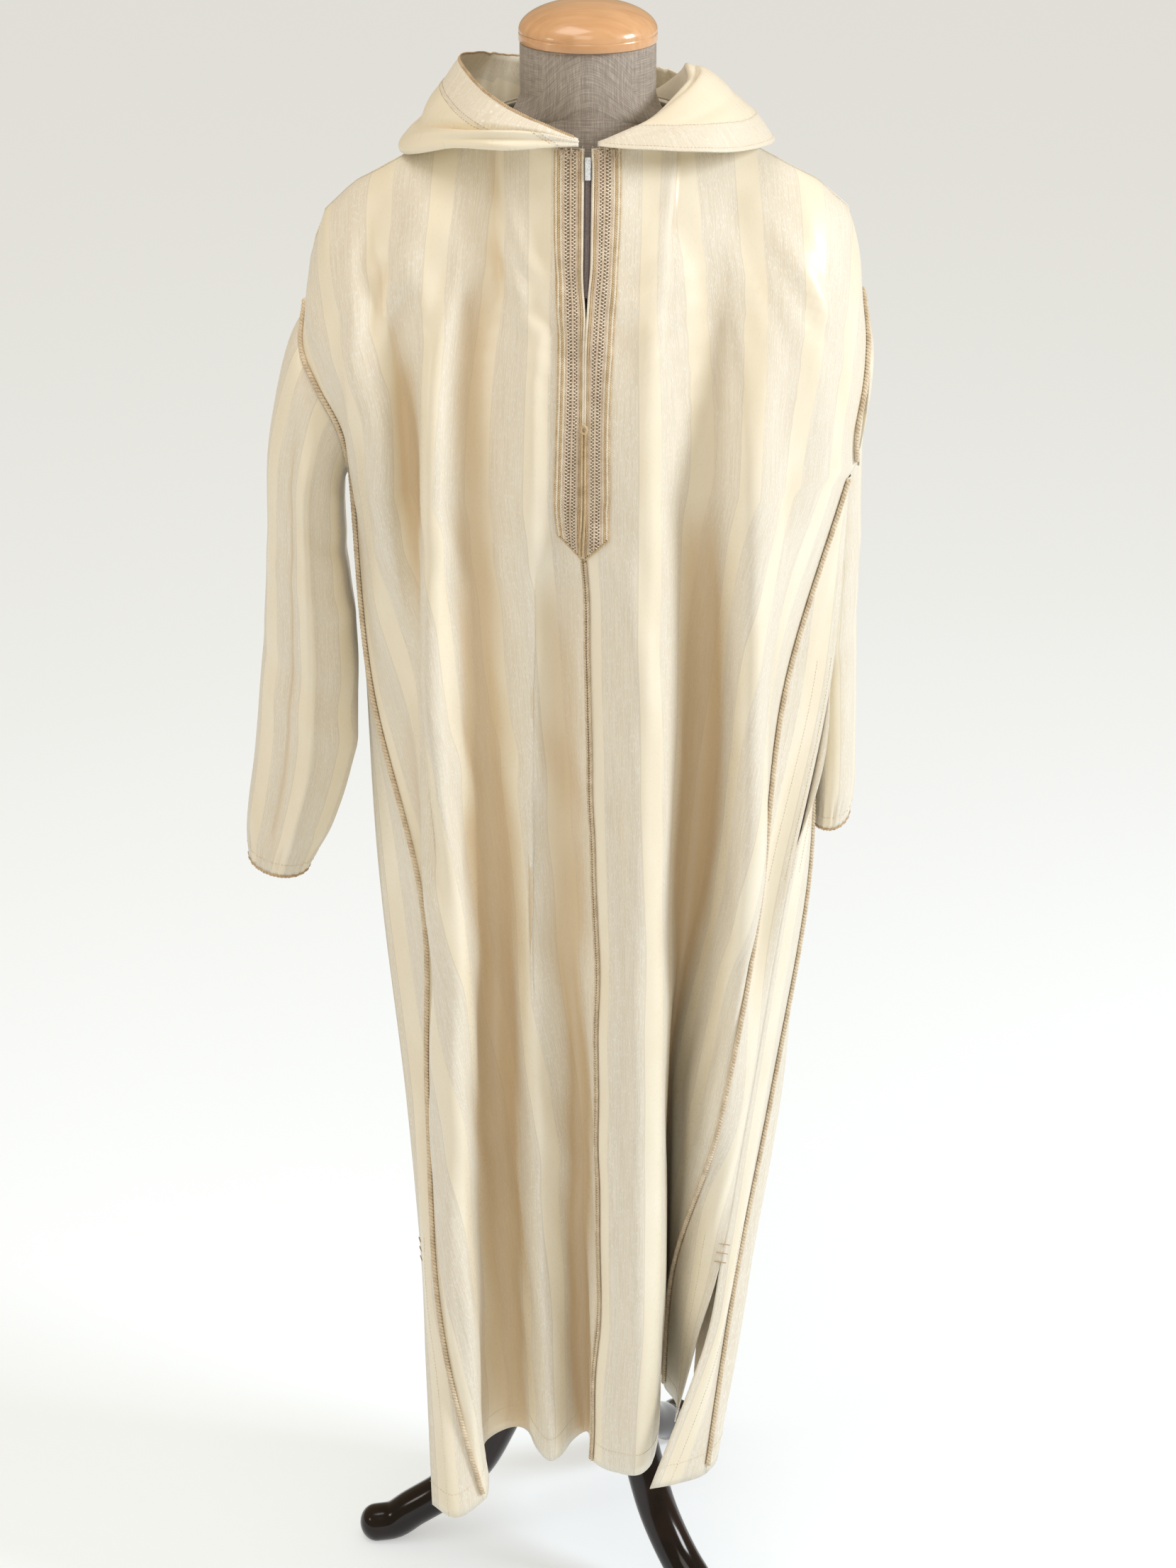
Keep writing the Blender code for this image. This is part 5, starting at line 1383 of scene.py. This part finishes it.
def spun(name, profile, finish, replaced, steps=96):
    """A turned piece: a profile of radius and height, spun about the stand's axis."""
    edges = [(k, k + 1) for k in range(len(profile) - 1)]
    mesh = new_mesh(name, [(r, 0.0, z) for r, z in profile], [], edges)
    thing = put(name, mesh, finish)

    def spin():
        bpy.ops.mesh.spin(steps=steps, angle=2 * math.pi, center=tuple(MIDDLE), axis=(0, 0, 1))

    edit(thing, spin, weld, face_outwards)
    mesh.shade_smooth()
    keep_edges(thing, 38)
    settle(thing, replaced)


def oval_rows(rows, angles):
    """Rings round the stand's axis from rows of height, half width and half depth."""
    return np.stack([
        np.column_stack([w * np.cos(angles), d * np.sin(angles), np.full(len(angles), z)])
        for z, w, d in rows
    ])


def linen_body(finish):
    """The torso under the robe and the finer linen of its neck."""
    table = np.array(TORSO)
    knots = arc_along(table)
    share = np.linspace(0, knots[-1], FORM_ROWS)
    rows = interp_rows(share, knots, table)
    neck = rows[:, 0] > SMOOTH_NECK_Z
    rows[neck] = hermite(knots, table, share[neck])
    angles = np.linspace(0, 2 * math.pi, FORM_AROUND)
    zs = np.linspace(NECK_LOW, TORSO[-1][0] - 0.0004, NECK_ROWS)
    flare = NECK_FLARE * smooth(NECK_FLARE_TOP, NECK_LOW, zs)
    neck_rows = np.column_stack([zs, TORSO[-1][1] + flare, TORSO[-1][2] + flare])
    for name, part, size, lift in (
        ("linen_torso", rows, FORM_INSET, 0.0),
        ("linen_neck", neck_rows, FORM_INSET * NECK_OVER_TORSO, 0.003),
    ):
        grid = oval_rows(part * (1.0, size, size), angles)
        around = np.repeat((angles * LINEN_RADIUS)[None], len(grid), axis=0)
        uv = np.stack([around, arc_along(grid) + lift], axis=-1)
        thing = put(name, grid_mesh(name, grid, uv), finish)
        if name == "linen_torso":
            thing.data.validate()
            edit(thing, weld, lambda: bpy.ops.mesh.fill_holes(sides=0), face_outwards)
        settle(thing, "form_torso")


def dress_form(linen, maple, lacquer):
    """The linen body, the wooden cap, the pole, the hub and the three legs."""
    linen_body(linen)
    dome = [
        (CAP_RADIUS * math.sin(a), CAP_Z + CAP_BAND + CAP_DOME * math.cos(a))
        for a in np.linspace(0.0, math.pi / 2 * 0.985, 30)
    ]
    band = [(CAP_RADIUS * wide, CAP_Z + CAP_BAND * high) for wide, high in CAP_GROOVE]
    foot = [(CAP_RADIUS * wide, CAP_Z + high) for wide, high in CAP_FOOT]
    spun("wooden_cap", dome + band + foot, maple, "neck_cap")
    top, low = TORSO[0][0] - REST_GAP, HUB_HIGH + REST_GAP
    inner = POLE_RADIUS - POLE_BEVEL
    spun("lacquered_pole", [
        (0.0, top), (inner, top), (POLE_RADIUS, top - POLE_BEVEL),
        (POLE_RADIUS, low + POLE_BEVEL), (inner, low), (0.0, low),
    ], lacquer, "pole", steps=64)
    spun("lacquered_hub", [
        *((r, HUB_HIGH - down) for r, down in HUB_TOP),
        *((r, HUB_LOW + up) for r, up in HUB_BOTTOM),
    ], lacquer, "hub", steps=64)
    for label, angle in LEG_ANGLES:
        turned_leg(label, math.radians(angle), lacquer)


def turned_leg(label, angle, finish):
    """A bent round leg from the hub to a rounded foot with a flat sole."""
    path = np.array(LEG_PATH)
    lengths = arc_along(path)
    run = hermite(lengths, path, np.linspace(0, lengths[-1], 60))
    forward = np.gradient(run, axis=0)
    forward[0] = path[1] - path[0]
    forward = unit(forward)
    tips = np.linspace(0.0, 0.985, 9)[1:] * math.pi / 2
    tip = [run[-1] + forward[-1] * LEG_RADIUS * TOE_LENGTH * math.sin(a) for a in tips]
    sizes = np.r_[np.ones(len(run)), np.cos(tips)]
    run = np.vstack([run, tip])
    forward = np.vstack([forward, np.repeat(forward[-1:], len(tip), axis=0)])
    turn = np.linspace(0, 2 * math.pi, LEG_SIDES, endpoint=False)
    ahead = np.array([math.cos(angle), math.sin(angle)])
    aside = np.array([-ahead[1], ahead[0]])
    grid = []
    for place, way, size in zip(run, forward, sizes):
        side = np.sin(turn) * LEG_RADIUS * size
        up = np.cos(turn) * LEG_RADIUS * size
        flat = ahead[None] * (place[0] - way[1] * up)[:, None] + aside[None] * side[:, None]
        grid.append(np.column_stack([flat, np.maximum(place[1] + way[0] * up, 0.0)]))
    name = f"lacquered_leg_{label}"
    mesh = new_mesh(name, np.array(grid), ring_faces(0, len(grid), LEG_SIDES))
    thing = put(name, mesh, finish)
    edit(thing, face_outwards)
    keep_edges(thing, 45)
    settle(thing, f"leg_{label}")


def add_node(tree, kind, inputs=None, **settings):
    """A node with its settings, and with values or links on its inputs."""
    node = tree.nodes.new(kind)
    for key, value in settings.items():
        setattr(node, key, value)
    for key, value in (inputs or {}).items():
        value = getattr(value, "socket", value)
        if isinstance(value, bpy.types.NodeSocket):
            tree.links.new(value, node.inputs[key])
        else:
            node.inputs[key].default_value = value
    return node


class Value:
    """A value in a node tree, which ordinary signs combine with others."""

    def __init__(self, tree, socket):
        self.tree, self.socket = tree, socket

    def calc(self, operation, *others):
        inputs = dict(enumerate((self, *others)))
        return made_by(self.tree, "ShaderNodeMath", inputs, operation=operation)

    def __add__(self, other):
        return self.calc("ADD", other)

    def __sub__(self, other):
        return self.calc("SUBTRACT", other)

    def __mul__(self, other):
        return self.calc("MULTIPLY", other)

    def __truediv__(self, other):
        return self.calc("DIVIDE", other)

    def ramp(self, low, high, start=0.0, end=1.0):
        """The value mapped from one range to another with a soft start and end."""
        return made_by(self.tree, "ShaderNodeMapRange", {
            "Value": self, "From Min": low, "From Max": high, "To Min": start, "To Max": end
        }, interpolation_type="SMOOTHSTEP")

    def blend(self, first, second):
        """A colour between two, at this share of the second."""
        first, second = (
            (*colour, 1.0) if isinstance(colour, tuple) else colour for colour in (first, second)
        )
        inputs = {0: self, 6: first, 7: second}
        return made_by(self.tree, "ShaderNodeMix", inputs, output=2, data_type="RGBA")


def made_by(tree, kind, inputs=None, output=0, **settings):
    """The value that a new node puts out."""
    return Value(tree, add_node(tree, kind, inputs, **settings).outputs[output])


def noise_of(place, scale, detail=2.0, stretch=None):
    """Noise at a place, which can be stretched along its axes first."""
    tree = place.tree
    if stretch is not None:
        place = made_by(tree, "ShaderNodeMapping", {"Vector": place, "Scale": stretch})
    inputs = {"Vector": place, "Scale": scale, "Detail": detail}
    return made_by(tree, "ShaderNodeTexNoise", inputs)


def chance_of(index):
    """An even random value for each whole number."""
    return made_by(index.tree, "ShaderNodeTexWhiteNoise", {"W": index}, noise_dimensions="1D")


def cloth_place_of(tree):
    return made_by(tree, "ShaderNodeUVMap", uv_map="cloth")


def object_place_of(tree):
    return made_by(tree, "ShaderNodeTexCoord", output="Object")


def across_and_along(place):
    """The two parts of a place in the cloth."""
    parts = add_node(place.tree, "ShaderNodeSeparateXYZ", {0: place}).outputs
    return Value(place.tree, parts[0]), Value(place.tree, parts[1])


def new_material(name, roughness, metallic=0.0, **constants):
    """A material, its node tree and its shader with some constants set."""
    made = bpy.data.materials.new(name)
    made.use_nodes = True
    shader = made.node_tree.nodes["Principled BSDF"]
    constants.update(Roughness=roughness, Metallic=metallic)
    for key, value in constants.items():
        shader.inputs[key.replace("_", " ")].default_value = value
    return made, made.node_tree, shader


def dress(shader, colour, rough=None, height=None, strength=0.0, distance=0.0):
    """Link a shader's colour and, where given, its roughness and bump."""
    links = colour.tree.links
    links.new(colour.socket, shader.inputs["Base Color"])
    if rough:
        links.new(rough.socket, shader.inputs["Roughness"])
    if height:
        inputs = {"Height": height, "Strength": strength, "Distance": distance}
        bump = add_node(colour.tree, "ShaderNodeBump", inputs)
        links.new(bump.outputs[0], shader.inputs["Normal"])


def node_group(name, inputs, outputs, build):
    """A node group, from a function of its input values that returns its outputs' values."""
    group = bpy.data.node_groups.new(name, "ShaderNodeTree")
    for labels, way in ((inputs, "INPUT"), (outputs, "OUTPUT")):
        for label, kind in labels:
            group.interface.new_socket(label, in_out=way, socket_type=f"NodeSocket{kind}")
    start = group.nodes.new("NodeGroupInput")
    end = group.nodes.new("NodeGroupOutput")
    found = build(*(Value(group, start.outputs[label]) for label, _ in inputs))
    for (label, _), value in zip(outputs, found):
        group.links.new(value.socket, end.inputs[label])
    return group


def striped_weave(place):
    """The robe's weave: slub bands with a fine edge line, and plain satin bands between."""
    u, v = across_and_along(place)
    turn = ((u - SLUB_START) / STRIPE_REPEAT).calc("FRACT")
    width = SLUB_WIDTH / STRIPE_REPEAT
    slub = turn.ramp(0.0, 0.012) * turn.ramp(width - 0.008, width + 0.004, 1.0, 0.0)
    line = turn.calc("COMPARE", width + 0.006, 0.010)
    thread = u * (1000.0 / SLUB_THREAD)
    column, ridge = thread.calc("FLOOR"), thread.calc("PINGPONG", 0.5)
    along = v * (1000.0 / SLUB_DASH) + chance_of(column) * 1.6
    cell = add_node(place.tree, "ShaderNodeCombineXYZ", {0: column, 1: along.calc("FLOOR")})
    chance = made_by(place.tree, "ShaderNodeTexWhiteNoise", {"Vector": cell.outputs[0]},
                     noise_dimensions="2D")
    bands = noise_of(place, 1.0, 3.0, (34.0, 300.0, 1.0))
    clouds = noise_of(place, 1.0, 2.0, (9.0, 14.0, 1.0))
    dash = (chance + (bands * 0.9 + clouds * 0.35)).ramp(1.22, 1.46)
    dash = dash * along.calc("PINGPONG", 0.5).ramp(0.02, 0.20) * ridge.ramp(0.04, 0.26)
    streak = noise_of(place, 1.0, 2.0, (900.0, 22.0, 1.0)).ramp(0.3, 0.7)
    mottle = noise_of(place, 1.0, 4.0, (26.0, 11.0, 1.0))
    slub_colour = (dash * 0.80).blend(streak.blend(*SLUB_COLOURS), DASH_COLOUR)
    colour = slub.blend(mottle.ramp(0.3, 0.7).blend(*SATIN_COLOURS), slub_colour)
    colour = (line * 0.35).blend(colour, LINE_COLOUR)
    fine = noise_of(place, 1.0, 3.0, (1500.0, 520.0, 1.0))
    slub_height = dash + ridge * 0.55 + bands * 0.5
    satin_height = mottle * 0.15 + fine * 0.16
    height = slub_height * slub + satin_height * (slub * -1.0 + 1.0)
    return colour, slub * 0.17 + 0.37 - dash * 0.10, height


def cloth_finish():
    """The striped cloth, with a warm tan shade painted into its colour in the valleys."""
    weave = node_group("striped_weave", [("Place", "Vector")], [
        ("Colour", "Color"), ("Roughness", "Float"), ("Height", "Float")
    ], striped_weave)
    made, tree, shader = new_material("striped_robe_cloth", 0.45, Sheen_Weight=0.12,
                                      Sheen_Roughness=0.4)
    node = add_node(tree, "ShaderNodeGroup", {"Place": cloth_place_of(tree)}, node_tree=weave)
    colour, rough, height = (Value(tree, socket) for socket in node.outputs)
    valley = made_by(tree, "ShaderNodeAttribute", output="Fac", attribute_name="valley")
    # painted shade: the colour turns warm tan where the cloth lies deep in a valley
    colour = (valley.ramp(0.02, 0.85) * 0.66).blend(colour, VALLEY_PAINTED_SHADE)
    dress(shader, colour, rough, height, 0.45, 0.00022)
    return made


def spun_thread(dark, light):
    """Spun thread: fine fibres along it and a slow change of shade."""
    place = object_place_of(dark.tree)
    fibre = noise_of(place, 1.0, 2.0, (1800.0, 1800.0, 500.0))
    slow = noise_of(place, 90.0)
    return (fibre * 0.55 + slow * 0.45).ramp(0.34, 0.64).blend(dark, light), fibre


def thread_finishes():
    """The spun threads of the cords, braids and seams."""
    group = node_group("spun_thread", [("Dark", "Color"), ("Light", "Color")],
                       [("Colour", "Color"), ("Height", "Float")], spun_thread)
    finishes = {}
    for name, roughness, dark, light in THREADS:
        made, tree, shader = new_material(f"{name}_thread", roughness, Sheen_Weight=0.25,
                                          Sheen_Roughness=0.4)
        inputs = {"Dark": (*dark, 1.0), "Light": (*light, 1.0)}
        node = add_node(tree, "ShaderNodeGroup", inputs, node_tree=group)
        colour, fibre = (Value(tree, socket) for socket in node.outputs)
        dress(shader, colour, None, fibre, 0.4, 0.00012)
        finishes[name] = made
    return finishes


def linen_finish():
    """Plain weave of grey-beige yarns, each a little darker or lighter than the next."""
    made, tree, shader = new_material("linen_weave", 0.85, Sheen_Weight=0.15)
    place = cloth_place_of(tree)
    warp, weft = (
        chance_of((part * (1000.0 / LINEN_YARN)).calc("FLOOR")) * 0.10
        for part in across_and_along(place)
    )
    slubs = noise_of(place, 1.0, 2.0, (1500.0, 90.0, 1.0))
    slubs = (slubs + noise_of(place, 1.0, 2.0, (90.0, 1500.0, 1.0))) * 0.5
    colour = (warp + weft + slubs).ramp(0.42, 0.92).blend(*LINEN_COLOURS)
    dress(shader, colour, None, slubs, 0.6, 0.0004)
    return made


def maple_finish():
    """Varnished light wood with a faint grain and small dents."""
    made, tree, shader = new_material("varnished_maple", 0.30, Coat_Weight=0.7,
                                      Coat_Roughness=0.10)
    place = object_place_of(tree)
    grain = noise_of(place, 1.0, 5.0, (26.0, 210.0, 120.0))
    broad = noise_of(place, 1.0, 3.0, (12.0, 34.0, 30.0))
    colour = (grain * 0.45 + broad * 0.55).ramp(0.32, 0.66).blend(*MAPLE_COLOURS)
    dress(shader, colour, grain * 0.14 + 0.24, grain, 0.08, 0.0004)
    return made


def lacquer_finish():
    """Dark brown gloss lacquer with faint rubbed patches."""
    made, tree, shader = new_material("dark_gloss_lacquer", 0.16, Coat_Weight=0.20,
                                      Coat_Roughness=0.08, Specular_IOR_Level=0.30)
    place = object_place_of(tree)
    rub = noise_of(place, 28.0, 4.0)
    colour = rub.ramp(0.35, 0.75).blend(*LACQUER_COLOURS)
    dress(shader, colour, rub * 0.16 + 0.08, noise_of(place, 160.0), 0.05, 0.0004)
    return made


def tape_finish():
    """Woven tape of the zip, mauve grey, with its fine ribs."""
    made, tree, shader = new_material("zip_tape_weave", 0.80)
    rib = noise_of(object_place_of(tree), 1.0, 2.0, (500.0, 500.0, 2200.0))
    dress(shader, rib.ramp(0.3, 0.7).blend(*TAPE_COLOURS), None, rib, 0.5, 0.0003)
    return made


def zip_metal_finish():
    """White enamelled metal with a little wear."""
    made, tree, shader = new_material("enamelled_zip_metal", 0.28, 0.35, Coat_Weight=0.3)
    wear = noise_of(object_place_of(tree), 700.0, 3.0)
    dress(shader, wear.ramp(0.42, 0.70).blend(*ENAMEL_COLOURS), wear * 0.25 + 0.18)
    return made


def link_to_scene(name, data, place, turn):
    """A lamp or camera in its place."""
    thing = bpy.data.objects.new(name, data)
    thing.location, thing.rotation_euler = place, turn
    bpy.context.scene.collection.objects.link(thing)
    return thing


def studio():
    """The floor, the air, the soft lights and the camera."""
    bpy.ops.mesh.primitive_plane_add(size=14.0, location=(0.0, 3.0, -0.0005))
    floor = bpy.context.object
    floor.name = "studio_floor"
    made, _, _ = new_material(
        "pale_floor", 0.9, Base_Color=FLOOR_COLOUR, Emission_Color=(1.0, 1.0, 1.0, 1.0),
        Emission_Strength=0.45, Specular_IOR_Level=0.0,
    )
    floor.data.materials.append(made)
    scene = bpy.context.scene
    scene.world = world = bpy.data.worlds.new("studio_air")
    world.use_nodes = True
    tree = world.node_tree
    air = tree.nodes["Background"]
    air.inputs["Color"].default_value = AIR_COLOUR
    air.inputs["Strength"].default_value = AIR_STRENGTH
    seen = add_node(tree, "ShaderNodeBackground", {"Color": BACKDROP_COLOUR})
    path = add_node(tree, "ShaderNodeLightPath")
    either = add_node(tree, "ShaderNodeMixShader", {
        0: path.outputs["Is Camera Ray"], 1: air.outputs[0], 2: seen.outputs[0]
    })
    tree.links.new(either.outputs[0], tree.nodes["World Output"].inputs["Surface"])
    scene.view_settings.view_transform = "Standard"
    for name, place, aim, size, watts, colour in LAMPS:
        lamp = bpy.data.lights.new(name, "AREA")
        lamp.energy, lamp.size, lamp.color = watts, size, colour
        way = np.array(aim) - np.array(place)
        pitch = math.acos(-way[2] / np.linalg.norm(way))
        turn = math.atan2(way[1], way[0]) - math.pi / 2
        link_to_scene(name, lamp, place, (pitch, 0.0, turn))
    eye = bpy.data.cameras.new("camera")
    eye.sensor_fit = "VERTICAL"
    eye.sensor_height = SENSOR
    eye.lens = SENSOR * CAMERA_FOCUS
    place = (MIDDLE[0], MIDDLE[1] - CAMERA_BACK, CAMERA_HIGH)
    turn = (math.radians(90.0 - CAMERA_DOWN), 0.0, 0.0)
    scene.camera = link_to_scene("camera", eye, place, turn)


def main():
    studio()
    cloth = cloth_finish()
    threads = thread_finishes()
    braid = {colour: threads[f"braid_{colour}"] for colour in ("ground", "tan", "light", "gold")}
    made = body(cloth)
    seam_cords(made, threads["seam_cord"])
    braid_bands(made, braid)
    slit_loop(made, braid["gold"])
    frayed_ends(made, braid["tan"])
    zip_pieces(made, tape_finish(), zip_metal_finish())
    sleeves = {side: sleeve_piece(side, cloth) for side in ("left", "right")}
    hoods = {
        side: hood_piece(side, x_sign, seed, cloth)
        for side, x_sign, seed in (("left", -1.0, 21), ("right", 1.0, 22))
    }
    robe_stitches(made, sleeves, hoods, threads["cream_sewing"], threads["tan_sewing"])
    rolled_cuffs(sleeves, threads["tan_sewing"])
    dress_form(linen_finish(), maple_finish(), lacquer_finish())


main()
